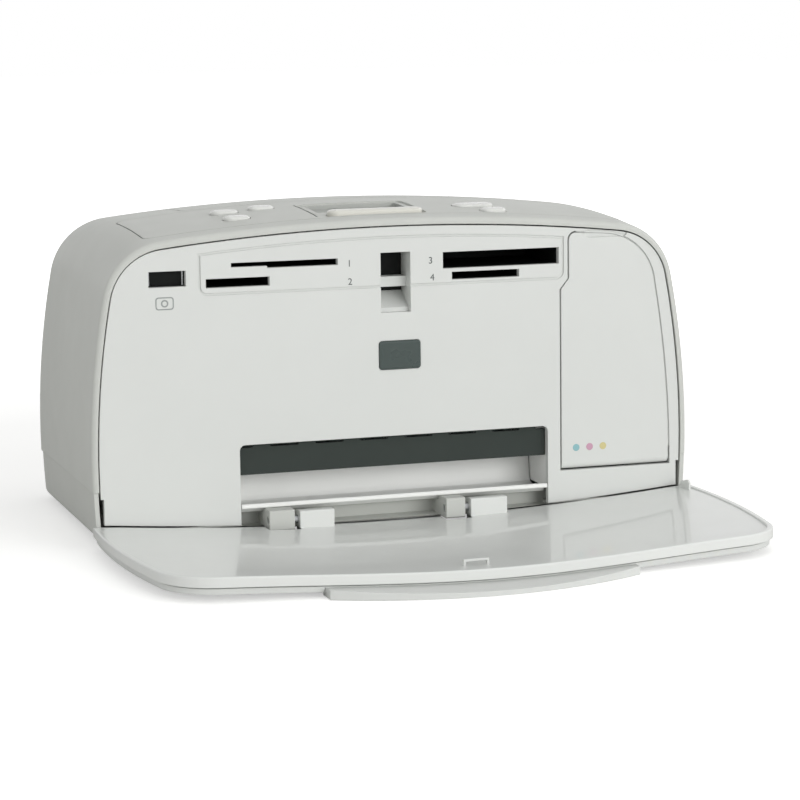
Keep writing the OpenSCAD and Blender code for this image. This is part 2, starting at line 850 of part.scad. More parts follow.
module card_sockets() {
    color("darkslategray") in_frame() {
        socket(sd_low, sd_high, reader_z, socket_d);
        socket(cf_low, cf_high, sd_high[1] + 0.6, socket_d + 6);
        socket(ms_low, ms_high, reader_z, socket_d);
        difference() {
            socket(sm_low, sm_high, ms_high[1] + socket_wall - eps, socket_d + 4);
            block([sm_low[0] - 2, socket_y - 1, sm_low[1] - 2],
                  [sm_low[0] - 1, socket_y + 3, sm_low[1] - 1]);
        }
        block([sm_high[0] - 6, socket_y + 8, reader_z],
              [sm_high[0], socket_y + socket_d, ms_high[1] + socket_wall]);
        block([cf_high[0] - 6, socket_y + 8, reader_z],
              [cf_high[0], socket_y + socket_d, sd_high[1] + 0.6 + eps]);
    }
}

module usb_host_port() {
    color("silver") in_frame() {
        difference() {
            block([usb_low[0] + 0.4, socket_y, reader_z],
                  [usb_high[0] - 0.4, socket_y + 17, usb_high[1] + 0.8]);
            block([usb_low[0] + 0.9, socket_y - 1, usb_low[1] + 0.3],
                  [usb_high[0] - 0.9, socket_y + 14, usb_high[1] - 0.3]);
        }
        block([usb_low[0] + 2, socket_y + 1, usb_high[1] - 2.4],
              [usb_high[0] - 2, socket_y + 14 + eps, usb_high[1] - 0.9]);
    }
}

module main_board() {
    color("seagreen") in_frame() {
        difference() {
            block([usb_low[0] - 3, fascia_rear + 1.2, main_board_z],
                  [door_left - 1, beam_y - 1, main_board_z + board_t]);
            block([latch_x[0] - 2, -1, main_board_z - 1],
                  [latch_x[1] + 2, fascia_rear + latch_depth + 0.6, main_board_z + 3]);
        }
        block([-34, 52, main_board_z + board_t - eps], [-14, 72, main_board_z + board_t + 2]);
        block([0, 56, main_board_z + board_t - eps], [12, 70, main_board_z + board_t + 1.6]);
        for (x = [24, 36]) {
            translate([x, 60, main_board_z + board_t - eps]) cylinder(r = 4, h = 7);
        }
    }
}

port_y = case_d - 13;

module usb_device_port() {
    color("silver") in_frame() difference() {
        union() {
            block([usb_b_at[0] - usb_b_w / 2, port_y, shelf_top],
                  [usb_b_at[0] + usb_b_w / 2, case_d - side_wall - slide,
                   usb_b_at[1] + usb_b_h / 2]);
            block([usb_b_at[0] - usb_b_w / 2, port_y, usb_b_at[1] - usb_b_h / 2],
                  [usb_b_at[0] + usb_b_w / 2, case_d - 0.6, usb_b_at[1] + usb_b_h / 2]);
        }
        block([usb_b_at[0] - usb_b_w / 2 + 0.5, port_y + 3, usb_b_at[1] - usb_b_h / 2 + 0.5],
              [usb_b_at[0] + usb_b_w / 2 - 0.5, case_d, usb_b_at[1] + usb_b_h / 2 - 0.5]);
    }
    color("ivory") in_frame()
        block([usb_b_at[0] - 2.4, port_y + 3 - eps, usb_b_at[1] - 1.8],
              [usb_b_at[0] + 2.4, case_d - 3, usb_b_at[1] + 1.4]);
}

module power_inlet() {
    color("black") in_frame() difference() {
        union() {
            block([inlet_at[0] - 4.5, port_y, shelf_top],
                  [inlet_at[0] + 4.5, case_d - side_wall - 0.2, inlet_at[1] + 4.5]);
            bar_y(case_d - side_wall - 1, case_d - 0.6, inlet_at[0], inlet_at[1], inlet_r);
        }
        bar_y(port_y + 3, case_d + 1, inlet_at[0], inlet_at[1], inlet_bore_r);
    }
    color("silver") in_frame()
        bar_y(port_y + 3 - eps, case_d - 3, inlet_at[0], inlet_at[1], 1);
}

// ---- Chassis ----

plate_t = 1.5;
left_x = -85;
right_x = case_half - 8.7;
beam_y = 84;
beam_z = [52, 80];
rod_at = [72, 52];
pulley_z = 64;
pulley_x = [-76, right_x - 6.8];
rail_y = 60;
rail_z = 74;
mid_x = exit_w / 2 - 0.2;
feed_z = paper_z - nip / 2 - feed_r;
feed_at = [feed_y, feed_z];
output_at = [output_y, output_z];
feed_pitch = gear_m * feed_teeth / 2;
idler_pitch = gear_m * idler_teeth / 2;
output_pitch = gear_m * output_teeth / 2;
pick_pitch = gear_m * pick_teeth / 2;
pinion_pitch = gear_m * pinion_teeth / 2;
pick_z = feed_z + sqrt(pow(feed_pitch + pick_pitch, 2) - pow(pick_y - feed_y, 2));
pick_at = [pick_y, pick_z];
idler_at = meet(feed_at, feed_pitch + idler_pitch, output_at, output_pitch + idler_pitch, -1);
pinion_angle = -5;
pinion_at = feed_at + (feed_pitch + pinion_pitch) * [cos(pinion_angle), sin(pinion_angle)];
shaft_r = 2.5;
feed_shaft_r = 3;
stub_r = 1.5;
motor_r = 11;
feed_motor_r = 11.2;
motor_shaft_r = 1;
gear_x = -91.5;
shaft_x = [-92.5, mid_x + plate_t + 0.5];
pinch_z = paper_z + nip / 2 + pinch_r;

// A side plate of the paper path, with bearings for the three roller shafts
module bearing_plate(x, pick_room, output_room) {
    difference() {
        across(x, plate_t)
            polygon([[18, chassis_z], [beam_y, chassis_z], [beam_y, pick_z + 5.5],
                     [70, pick_z + 5.5], [70, 34], [60, 34], [58, 24.8], [18, 24.8]]);
        bar_x(x - 1, x + plate_t + 1, feed_at[0], feed_at[1], feed_shaft_r + run);
        bar_x(x - 1, x + plate_t + 1, output_at[0], output_at[1], shaft_r + output_room);
        bar_x(x - 1, x + plate_t + 1, pick_at[0], pick_at[1], shaft_r + pick_room);
    }
}

module chassis() {
    color("lightsteelblue") in_frame() {
        difference() {
            union() {
                across(left_x, plate_t)
                    polygon([[18, chassis_z], [beam_y + plate_t, chassis_z],
                             [beam_y + plate_t, beam_z[1]], [56, beam_z[1]], [36, 40],
                             [18, 34]]);
                across(right_x, plate_t)
                    polygon([[34, chassis_z], [beam_y + plate_t, chassis_z],
                             [beam_y + plate_t, beam_z[1]], [56, beam_z[1]], [34, 40]]);
            }
            for (x = [left_x - 1, right_x - 1]) {
                bar_x(x, x + plate_t + 2, rod_at[0], rod_at[1], rod_r + run);
            }
            bar_x(left_x - 1, 0, feed_at[0], feed_at[1], feed_shaft_r + run);
            bar_x(left_x - 1, 0, output_at[0], output_at[1], shaft_r + run);
            bar_x(left_x - 1, 0, pick_at[0], pick_at[1], shaft_r + run);
            bar_x(left_x - 1, 0, pinion_at[0], pinion_at[1], 4);
        }
        bearing_plate(mid_x, run, run);
        bearing_plate(-mid_x - plate_t, 1, 1);
        block([left_x, 34, chassis_z], [right_x + plate_t, 58, chassis_z + plate_t]);
        difference() {
            block([left_x, beam_y, beam_z[0]], [right_x + plate_t, beam_y + plate_t, beam_z[1]]);
            bar_y(beam_y - 1, beam_y + 3, pulley_x[0], pulley_z, 3);
        }
        block([left_x, beam_y - 4, beam_z[1]],
              [right_x + plate_t - 0.6, beam_y + plate_t, beam_z[1] + plate_t]);
        for (x = [-70, 50]) {
            translate([x, beam_y - 2.5, beam_z[1] + plate_t - eps])
                cylinder(r = 1.4, h = main_board_z - beam_z[1] - plate_t + eps);
        }
        block([left_x, rail_y, rail_z], [right_x + plate_t, rail_y + 4, rail_z + plate_t]);
        bar_y(beam_y - 4.4, beam_y + eps, pulley_x[1], pulley_z, motor_shaft_r);
        bar_x(gear_x - 0.5, left_x + eps, idler_at[0], idler_at[1], stub_r);
    }
}

module platen() {
    color("dimgray") in_frame() {
        block([-mid_x + 0.4, 33, paper_z - 4.5], [mid_x - 0.4, 57, paper_z - 1.1]);
        for (x = [-mid_x + 0.4, mid_x - 2.4]) {
            block([x, 36, chassis_z + plate_t], [x + 2, 56, paper_z - 4.5 + eps]);
        }
        for (i = [-6:6]) {
            block([i * 8.4 - 0.5, 33, paper_z - 1.1 - eps], [i * 8.4 + 0.5, 57, paper_z - 0.3]);
        }
    }
}

// ---- Carriage ----

pocket_w = ink_w + 0.8;
carriage_low = 30;
carriage_floor = 3;
carriage_top = rail_z - 0.5;
nose_low = paper_z + head_gap;
belt_in_r = pulley_r + 0.1;
belt_out_r = belt_in_r + belt_t;
belt_y = [beam_y - 4.1, beam_y - 0.9];
clamp_half = 5;

module carriage() {
    color("dimgray") in_frame() translate([park_x, 0, 0]) difference() {
        union() {
            block([-carriage_w / 2, 34, carriage_low], [carriage_w / 2, 57.5, carriage_top - 2]);
            block([-carriage_w / 2, 57, 36], [carriage_w / 2, 66, carriage_top - 2]);
            block([-carriage_w / 2, rail_y + 1, carriage_top - 3],
                  [carriage_w / 2, rail_y + 3, carriage_top]);
            block([-carriage_w / 2, 64, rod_at[1] - 8], [carriage_w / 2, 79.4, rod_at[1] + 8]);
            block([-6, 75, rod_at[1] + 7], [6, 79.4, 72]);
            block([-clamp_half, 79, pulley_z - belt_out_r - 4],
                  [clamp_half, belt_y[1], pulley_z - belt_in_r + 2.6]);
            for (x = [-pocket_w / 2 - 1.6, pocket_w / 2]) {
                block([x, latch_axis[0] - 2, carriage_top - 3],
                      [x + 1.6, latch_axis[0] + 1.8, latch_axis[1] + 1.6]);
            }
        }
        block([-pocket_w / 2, 30, carriage_low + carriage_floor], [pocket_w / 2, 56, case_h]);
        block([-pocket_w / 2, 55, ink_step_z - 0.5], [pocket_w / 2, 62, case_h]);
        block([-12, 38, carriage_low - 1], [12, 54, carriage_low + 4]);
        bar_x(-case_w, case_w, rod_at[0], rod_at[1], rod_r + run);
        block([-7, 76.8, 66], [7, 78, 73]);
        block([-clamp_half - 1, belt_y[0] - 0.3, pulley_z - belt_out_r - slide],
              [clamp_half + 1, belt_y[1] + 1, pulley_z - belt_in_r + slide]);
        bar_x(-pocket_w / 2 - 2, pocket_w / 2 + 2, latch_axis[0], latch_axis[1],
              latch_pin_r + run);
    }
}

latch_axis = [57, rail_z - 0.6];
latch_pin_r = 0.8;

module cartridge_latch() {
    color("cadetblue") in_frame() translate([park_x, 0, 0]) {
        block([-pocket_w / 2 + slide, 35, ink_top + slide],
              [pocket_w / 2 - slide, latch_axis[0], ink_top + slide + 1.5]);
        bar_x(-pocket_w / 2 + slide, pocket_w / 2 - slide, latch_axis[0], latch_axis[1], 1.5);
        bar_x(-pocket_w / 2 - 1.4, pocket_w / 2 + 1.4, latch_axis[0], latch_axis[1],
              latch_pin_r);
    }
}

ink_top = 71.6;
ink_step_z = 37.5;

module ink_cartridge() {
    color("black") in_frame() translate([park_x, 0, 0]) {
        block([-ink_w / 2, 31.5, carriage_low + carriage_floor], [ink_w / 2, 55.5, ink_top]);
        block([-ink_w / 2, 55, ink_step_z], [ink_w / 2, 61.6, ink_top]);
        block([-11, 39, nose_low], [11, 53, carriage_low + carriage_floor + eps]);
    }
}

module carriage_rod() {
    color("silver") in_frame()
        bar_x(left_x - 0.6, right_x + plate_t + 0.6, rod_at[0], rod_at[1], rod_r);
}

// Outline of the belt's loop at radius r about its two pulleys
module belt_loop(r) {
    for (x = pulley_x) {
        translate([x, pulley_z]) circle(r);
    }
    translate([pulley_x[0], pulley_z - r]) square([pulley_x[1] - pulley_x[0], 2 * r]);
}

module carriage_belt() {
    color("black") in_frame() upright(belt_y[0], belt_y[1] - belt_y[0]) difference() {
        belt_loop(belt_out_r);
        belt_loop(belt_in_r);
    }
}

module carriage_motor() {
    color("silver") in_frame() difference() {
        bar_y(beam_y + plate_t, beam_y + plate_t + 19, pulley_x[0], pulley_z, motor_r);
        bar_y(beam_y, beam_y + plate_t + 12, pulley_x[0], pulley_z, motor_shaft_r + run);
    }
}

module motor_pulley() {
    color("goldenrod") in_frame() {
        bar_y(belt_y[0], belt_y[1], pulley_x[0], pulley_z, pulley_r);
        bar_y(belt_y[0] - 1.5, beam_y + plate_t + 11, pulley_x[0], pulley_z, motor_shaft_r);
    }
}

module idler_pulley() {
    color("white") in_frame() difference() {
        bar_y(belt_y[0], belt_y[1], pulley_x[1], pulley_z, pulley_r);
        bar_y(belt_y[0] - 1, belt_y[1] + 1, pulley_x[1], pulley_z, motor_shaft_r + run);
    }
}

module encoder_strip() {
    color("lightgray") in_frame() block([left_x + plate_t, 77.2, 68], [right_x, 77.6, 73.4]);
}

// ---- Service station ----

station_x = [park_x - 17, park_x + 17];
station_top = 20;

module service_station() {
    color("dimgray") in_frame() difference() {
        block([station_x[0], 36, chassis_z + plate_t], [station_x[1], 56.5, station_top]);
        block([station_x[0] + 2, 38, chassis_z + plate_t + 1.5],
              [station_x[1] - 2, 54.5, station_top + 1]);
    }
}

module service_sled() {
    color("gray") in_frame() block([station_x[0] + 2 + slide, 38 + slide, nose_low - 8.3],
                                   [station_x[1] - 2 - slide, 54.5 - slide, nose_low - 3.3]);
}

module nozzle_cap() {
    color("black") in_frame() {
        difference() {
            block([park_x - 10, 40, nose_low - 3.3], [park_x + 10, 52, nose_low - slide]);
            block([park_x - 8.6, 41.4, nose_low - 2], [park_x + 8.6, 50.6, nose_low]);
        }
        block([park_x + 12, 40, nose_low - 3.3], [park_x + 13, 52, nose_low - slide]);
    }
}

// ---- Gears and rollers ----

tooth_fill = 0.225;
tip_f = 0.8;
root_f = 1.1;
pressure = 20;

// Polar angle of the involute of base circle rb at radius r, in degrees
function involute(rb, r) = let (t = sqrt(max(0, pow(r / rb, 2) - 1))) t * 180 / PI - atan(t);

// One flank of a gear with n teeth, as pairs of radius and angle from the tooth's middle
function flank(n) =
    let (p = gear_m * n / 2,
         rb = p * cos(pressure),
         root = p - root_f * gear_m,
         tip = p + tip_f * gear_m,
         half = 360 / n * tooth_fill + involute(rb, p),
         start = max(rb, root))
    concat(root < rb ? [[root, half]] : [],
           [for (i = [0:2]) let (r = start + (tip - start) * i / 2) [r, half - involute(rb, r)]]);

// A spur gear's outline with a tooth's middle at angle a
module gear_outline(n, a) {
    f = flank(n);
    last = len(f) - 1;
    polygon([for (k = [0:n - 1]) each concat(
        [for (i = [0:last]) let (t = a + 360 * k / n - f[i][1]) f[i][0] * [cos(t), sin(t)]],
        [for (i = [last:-1:0]) let (t = a + 360 * k / n + f[i][1]) f[i][0] * [cos(t), sin(t)]])]);
}

// The angle that puts the teeth of a gear with n teeth at q into mesh with one of m at p
function mesh_angle(p, m, a, q, n) =
    let (f = angle_of(q - p)) f + 180 - 180 / n + (f - a) * m / n;

idler_angle = mesh_angle(feed_at, feed_teeth, 0, idler_at, idler_teeth);

module gear_at(at, n, a, bore) {
    across(gear_x, gear_w) translate(at) difference() {
        gear_outline(n, a);
        circle(bore);
    }
}

module feed_gear() {
    color("white") in_frame() gear_at(feed_at, feed_teeth, 0, feed_shaft_r);
}

module idler_gear() {
    color("white") in_frame() gear_at(idler_at, idler_teeth, idler_angle, stub_r + run);
}

module output_gear() {
    color("white") in_frame()
        gear_at(output_at, output_teeth,
                mesh_angle(idler_at, idler_teeth, idler_angle, output_at, output_teeth), shaft_r);
}

module pick_gear() {
    color("white") in_frame()
        gear_at(pick_at, pick_teeth, mesh_angle(feed_at, feed_teeth, 0, pick_at, pick_teeth),
                shaft_r);
}

module motor_pinion() {
    color("goldenrod") in_frame() {
        across(gear_x, gear_w) translate(pinion_at)
            gear_outline(pinion_teeth, mesh_angle(feed_at, feed_teeth, 0, pinion_at, pinion_teeth));
        bar_x(gear_x + gear_w - eps, left_x + plate_t + 12, pinion_at[0], pinion_at[1],
              motor_shaft_r);
    }
}

module feed_motor() {
    color("silver") in_frame() difference() {
        bar_x(left_x + plate_t, left_x + plate_t + 22, pinion_at[0], pinion_at[1], feed_motor_r);
        bar_x(left_x, left_x + plate_t + 13, pinion_at[0], pinion_at[1], motor_shaft_r + run);
    }
}

module feed_roller() {
    color("gray") in_frame() {
        bar_x(shaft_x[0], shaft_x[1], feed_at[0], feed_at[1], feed_shaft_r);
        bar_x(-paper_w / 2 - 4, paper_w / 2 + 4, feed_at[0], feed_at[1], feed_r);
    }
}

module output_roller() {
    color("silver") in_frame()
        bar_x(shaft_x[0], shaft_x[1], output_at[0], output_at[1], shaft_r);
}

module output_tyres() {
    color("black") in_frame() for (i = [0:star_count - 1]) {
        x = (i - (star_count - 1) / 2) * star_pitch;
        difference() {
            bar_x(x - 3.5, x + 3.5, output_at[0], output_at[1], output_r);
            bar_x(x - 4, x + 4, output_at[0], output_at[1], shaft_r);
        }
    }
}

module pick_roller() {
    color("dimgray") in_frame() {
        bar_x(shaft_x[0], shaft_x[1], pick_at[0], pick_at[1], shaft_r);
        bar_x(-16, 16, pick_at[0], pick_at[1], pick_r);
    }
}

pinch_pin_r = 1;
pinch_arms = [-54, -30, 0, 30, 54];

module pinch_rollers() {
    color("white") in_frame() {
        bar_x(pinch_arms[0] - 1.4, pinch_arms[4] + 1.4, feed_y, pinch_z, pinch_pin_r);
        for (i = [0:3]) {
            bar_x(pinch_arms[i] + 2, pinch_arms[i + 1] - 2, feed_y, pinch_z, pinch_r);
        }
    }
}

module pinch_roller_holder() {
    color("dimgray") in_frame() difference() {
        union() {
            block([-mid_x + 0.2, 60.6, 31.4], [mid_x - 0.2, 69.5, 33.4]);
            for (x = pinch_arms) {
                block([x - 1.5, feed_y - 2.4, pinch_z - 1.9], [x + 1.5, feed_y + 2.4, 31.4 + eps]);
            }
        }
        bar_x(-mid_x, mid_x, feed_y, pinch_z, pinch_pin_r + run);
    }
}

// ---- Paper input ----

chute_half = paper_w / 2 + 4.5;
chute_wall = 1.6;
chute_low = [[71.2, 23.4], [pick_y, pick_z - pick_r - 1], [pick_y + 7, pick_z - 4.6],
             [pick_y + 16, pick_z + 3]];
chute_back = [[case_d - 15.8, 40], [case_d - 6.4, 84]];
plate_top = [case_d - 9.5, 84];
plate_low = [84.9, 39];
plate_thick = 1.6;
plate_half = 46;
plate_pin_r = 1.2;
rail_at = [93.2, 87];

module paper_chute() {
    color("dimgray") in_frame() {
        across(-chute_half, 2 * chute_half)
            polygon(concat(chute_low, [chute_back[0], chute_back[1], chute_back[1] + [2, 0],
                                       chute_back[0] + [2.2, -0.8]],
                           [for (i = [3:-1:0]) chute_low[i] + [0.6, -1.8]]));
        difference() {
            for (x = [-chute_half - chute_wall + eps, chute_half - eps]) {
                across(x, chute_wall)
                    polygon([[70.5, 21.5], [70.5, 30], [pick_y - 3, pick_z + 5], [80.4, pick_z + 7],
                             [beam_y + plate_t + slide, 50],
                             [beam_y + plate_t + slide, 78], [rail_at[0] - 3, 88.5],
                             [plate_top[0] + 3.2, 88.5], chute_back[1] + [2, 0],
                             chute_back[0] + [2.2, -0.8], [pick_y + 8, pick_z - 7]]);
            }
            bar_x(-case_w, case_w, pick_at[0], pick_at[1], shaft_r + 1);
            bar_x(-chute_half - 3, chute_half + 3, plate_top[0], plate_top[1],
                  plate_pin_r + run);
        }
        block([-chute_half - eps, rail_at[0] - 1, rail_at[1] - 1],
              [chute_half + eps, rail_at[0] + 1, rail_at[1] + 1]);
    }
}

module pressure_plate() {
    d = (plate_low - plate_top) / norm(plate_low - plate_top);
    back = plate_thick * [-d[1], d[0]];
    color("lightgray") in_frame() {
        across(-plate_half, 2 * plate_half)
            polygon([plate_top, plate_low, plate_low + back, plate_top + back]);
        bar_x(-chute_half - 1.2, chute_half + 1.2, plate_top[0], plate_top[1], plate_pin_r);
    }
}

guide_x = paper_w / 2 + 0.6;

module paper_width_guide() {
    color("white") in_frame() difference() {
        union() {
            across(guide_x, 1.6)
                polygon([[87.4, 58], [plate_low[0] + 5.2, 58],
                         [rail_at[0] + 4.4, rail_at[1] - 4], [rail_at[0] + 4.4, rail_at[1] + 5],
                         [rail_at[0] - 2.6, rail_at[1] + 5], [rail_at[0] - 2.6, rail_at[1] - 3]]);
            block([guide_x - 3.2, rail_at[0] - 2.6, rail_at[1] - 2.6],
                  [guide_x + 1.6, rail_at[0] + 2.6, rail_at[1] + 2.6]);
            block([guide_x - 6, rail_at[0] - 2.6, rail_at[1] + 3.6],
                  [guide_x + 1.6, rail_at[0] + 1, rail_at[1] + 5]);
        }
        block([guide_x - 10, rail_at[0] - 1 - slide, rail_at[1] - 1 - slide],
              [guide_x + 10, rail_at[0] + 1 + slide, rail_at[1] + 1 + slide]);
    }
}

module input_flap() {
    color("gainsboro") in_frame() {
        intersection() {
            case_shell();
            flap_region(0);
        }
        bar_x(-flap_half, flap_half, flap_axis[0], flap_axis[1], flap_barrel_r);
        bar_x(-flap_half - hinge_pin_l, flap_half + hinge_pin_l, flap_axis[0], flap_axis[1],
              flap_pin_r);
    }
}

module rear_door() {
    color("gainsboro") in_frame() {
        difference() {
            upright(case_d - side_wall, side_wall) union() {
                translate([0, (rear_axis[1] + rear_high) / 2])
                    square([2 * rear_half, rear_high - rear_axis[1]], center = true);
            }
            upright(case_d - 0.8, 2) translate([0, rear_high - 5]) rounded(22, 6, 2.5);
        }
        bar_x(-rear_half, rear_half, rear_axis[0], rear_axis[1], rear_barrel_r);
        bar_x(-rear_half - hinge_pin_l, rear_half + hinge_pin_l, rear_axis[0], rear_axis[1],
              rear_pin_r);
    }
}

// ---- Output tray ----

hook_x = [latch_x[0] + 1, latch_x[1] - 1];
hook_at = 92;
hook_h = 4.2;
hook_t = 2;
hook_bar = 1.2;
ear_t = 0.7;
ear_gap = 0.3;
ear_slot = side_at(hinge_z) - tub_step - tub_wall - ear_t - 2 * ear_gap;
ear_slot_top = door_foot + 0.4;
ear_side = [[0, -1], [0, 2], [-1.5, 4], [-7, 5.4], [-8.4, 4.4], [-8.4, -1]];
pin_end = 0.5;

// The closed tray's arch laid down on the table, drawn in by inset
function tray_outline(inset) =
    [for (p = arch(tray_top - inset, case_half + tray_over - inset, tray_corner_r - inset,
                   tray_heel, tray_arch_r))
        [p[0], fold_y - p[1]]];

// Room in the tray's rear edge for the fixed hinge lugs and the pins
module lug_room() {
    for (i = [0, 1]) {
        translate([lug_places[i][0] - 0.8, -hinge_y - knuckle_r - 1.2])
            square([arm_places[i][0] - lug_places[i][0] + 0.8 + eps, 12]);
    }
}

module output_tray() {
    color("whitesmoke") in_frame() difference() {
        union() {
            translate([0, 0, tray_floor_z]) linear_extrude(tray_floor_t) difference() {
                polygon(tray_outline(0));
                lug_room();
            }
            translate([0, 0, tray_deck_z - eps]) linear_extrude(tray_rim_h + eps) difference() {
                polygon(tray_outline(0));
                polygon(tray_outline(tray_rim_w));
                translate([-case_w, -3]) square([2 * case_w, 10]);
            }
            for (x = arm_places) {
                bar_x(x[0], x[1], -hinge_y, hinge_z, knuckle_r);
                block([x[0], -hinge_y - 9, tray_floor_z], [x[1], -hinge_y, hinge_z + 2.1]);
            }
            tray_hook();
            across(ear_slot + ear_gap, ear_t)
                polygon([for (p = ear_side) p + [-hinge_y, hinge_z]]);
        }
        for (x = arm_places) {
            bar_x(x[0] - 1, x[1] + 1, -hinge_y, hinge_z, pin_r);
        }
    }
}

// The loop near the front edge that the latch in the front plate catches
module tray_hook() {
    y = -hook_at;
    difference() {
        block([hook_x[0], y - hook_t, tray_deck_z - eps],
              [hook_x[1], y, tray_deck_z + hook_h]);
        block([hook_x[0] + 1, y - hook_t - 1, tray_deck_z],
              [hook_x[1] - 1, y + 1, tray_deck_z + hook_h - hook_bar]);
    }
}

// The grip's outline: a segment of a circle past the tray's front edge
module grip_plan() {
    r = (pow(grip_w / 2, 2) + pow(grip_reach, 2)) / (2 * grip_reach);
    a = asin(grip_w / 2 / r);
    polygon(concat(arc([0, -tray_front - grip_reach + r], r, 270 - a, 270 + a, 16),
                   [[grip_w / 2, -tray_front + 8], [-grip_w / 2, -tray_front + 8]]));
}

module tray_cover() {
    color("gainsboro") in_frame() {
        translate([0, 0, skin_z]) linear_extrude(cover_t) difference() {
            polygon(tray_outline(1.2));
            lug_room();
            for (x = arm_places) {
                translate([x[0] - 0.4, -hinge_y - knuckle_r - 0.6])
                    square([x[1] - x[0] + 0.8, 12]);
            }
        }
        linear_extrude(tray_floor_z - 0.4) grip_plan();
    }
}

module tray_hinge_pins() {
    color("silver") in_frame() for (i = [0, 1]) {
        bar_x(lug_places[i][0] + pin_end, arm_places[i][1] - pin_end, -hinge_y, hinge_z, pin_r);
    }
}

bottom_tub();
top_casing();
front_fascia();
exit_ramp();
star_wheel_bridge();
star_wheels();
control_panel();
display_window();
display_module();
button_board();
menu_button();
layout_button();
save_button();
select_pad();
print_button();
cancel_button();
badge_plate();
usb_host_port();
card_sockets();
main_board();
usb_device_port();
power_inlet();
rubber_feet();
case_screws();
chassis();
carriage_rod();
carriage_belt();
carriage_motor();
motor_pulley();
idler_pulley();
encoder_strip();
carriage();
cartridge_latch();
ink_cartridge();
service_station();
service_sled();
nozzle_cap();
platen();
feed_motor();
motor_pinion();
feed_roller();
feed_gear();
idler_gear();
output_roller();
output_tyres();
output_gear();
pick_roller();
pick_gear();
pinch_roller_holder();
pinch_rollers();
paper_chute();
pressure_plate();
paper_width_guide();
input_flap();
rear_door();
cartridge_door();
output_tray();
tray_cover();
tray_hinge_pins();
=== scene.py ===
import json
import math

import bmesh
import bpy
from bpy.props import FloatProperty, FloatVectorProperty, PointerProperty
from mathutils import Matrix, Vector


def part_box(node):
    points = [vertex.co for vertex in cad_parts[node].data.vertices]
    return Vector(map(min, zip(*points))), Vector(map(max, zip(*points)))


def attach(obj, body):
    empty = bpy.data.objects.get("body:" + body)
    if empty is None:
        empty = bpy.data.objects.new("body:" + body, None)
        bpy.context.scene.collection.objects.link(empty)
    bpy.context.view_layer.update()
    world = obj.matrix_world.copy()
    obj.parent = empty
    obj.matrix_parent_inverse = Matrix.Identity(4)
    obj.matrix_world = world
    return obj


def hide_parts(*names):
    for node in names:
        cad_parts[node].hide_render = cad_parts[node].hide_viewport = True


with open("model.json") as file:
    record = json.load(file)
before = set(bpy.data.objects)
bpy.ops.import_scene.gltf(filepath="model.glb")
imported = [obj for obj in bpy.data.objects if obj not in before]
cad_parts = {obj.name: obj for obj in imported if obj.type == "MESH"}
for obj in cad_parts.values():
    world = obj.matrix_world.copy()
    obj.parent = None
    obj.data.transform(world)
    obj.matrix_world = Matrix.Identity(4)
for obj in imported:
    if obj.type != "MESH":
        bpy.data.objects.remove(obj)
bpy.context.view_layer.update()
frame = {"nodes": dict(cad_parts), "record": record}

bl_info = {
    "name": "Compact photo printer",
    "version": (1, 0, 0),
    "blender": (4, 5, 0),
    "location": "3D View > Sidebar > Photo Printer",
    "description": "Dresses the printer's frame with its shells, buttons, finishes and studio",
    "category": "Add Mesh",
}

# Lengths in the modelling functions are millimetres, with y = 0 at the front rim of the casing.
MM = 0.001
CASING_LOW, CASING_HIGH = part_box("top_casing")
FACE_Y = CASING_LOW.y / MM
WELD = 0.002  # points closer than this become one


# ---- Colours ----

def paint(code):
    """A linear colour with alpha from an sRGB hex code."""
    parts = [int(code[i:i + 2], 16) / 255 for i in (1, 3, 5)]
    return tuple([c / 12.92 if c <= 0.04045 else ((c + 0.055) / 1.055) ** 2.4
                  for c in parts] + [1.0])


# ---- What a user may change ----

def length(name, about, millimetres):
    return FloatProperty(name=name, description=about, default=millimetres * MM,
                         unit="LENGTH", precision=5, min=0.0)


def colour(name, about, code):
    return FloatVectorProperty(name=name, description=about, default=paint(code),
                               subtype="COLOR", size=4, min=0.0, max=1.0)


class PrinterSizes(bpy.types.PropertyGroup):
    case_width: length("Casing width", "Width of the casing at its widest",
                       (CASING_HIGH.x - CASING_LOW.x) / MM)
    case_depth: length("Casing depth", "Depth from the front rim to the back",
                       (CASING_HIGH.y - CASING_LOW.y) / MM)
    case_height: length("Casing height", "Height of the crown of the top", CASING_HIGH.z / MM)
    arch_radius: length("Arch radius", "Radius of the arch across the front", 735)
    side_radius: length("Side radius", "Radius of the bulge of each side", 310)
    widest_height: length("Widest height", "Height at which the sides are widest", 27)
    corner_radius: length("Corner radius", "Radius of the two top corners", 23.5)
    crown_radius: length("Crown radius", "Radius of the top from front to back", 470)
    crown_back: length("Crown place", "How far the crown lies behind the rim", 54)
    rear_radius: length("Rear radius", "Radius of the rounding at the back", 14.5)
    rim_radius: length("Rim radius", "Rounding of the front rim", 1.8)
    seam: length("Seam", "Seam between neighbouring shells", 0.5)
    edge_round: length("Edge rounding", "Small rounding of the moulded edges", 0.3)
    tray_arch: length("Tray arch", "Radius of the arch of the tray's front edge", 500)
    tray_over: length("Tray overhang", "How far the tray stands out past the casing", 1.2)
    tray_rim: length("Tray rim", "Width of the rim around the tray's floor", 2.2)
    button_rise: length("Button rise", "Height of the buttons over the panel", 1.3)


class PrinterColours(bpy.types.PropertyGroup):
    casing: colour("Casing", "Moulded shell of the casing", "#C6C8C3")
    front: colour("Front", "Front plate and cartridge door", "#D6D8D5")
    tray: colour("Tray", "Polished floor of the output tray", "#E0E2DF")
    button: colour("Buttons", "Gloss keys on the control panel", "#DCDDD9")
    select: colour("Select pad", "Ivory rocker in front of the display", "#DAD9D0")
    badge: colour("Badge", "Bare lacquered badge plate", "#34423F")
    # The dark grey is partly painted shade: on the wheel guard it stands in for the unlit inside
    # behind the exit
    dark: colour("Dark plastic", "Paper path and wheel guard behind the exit", "#363C39")


def mm(name):
    """A size property in millimetres."""
    return getattr(bpy.context.scene.printer_sizes, name) / MM


# ---- Outlines ----

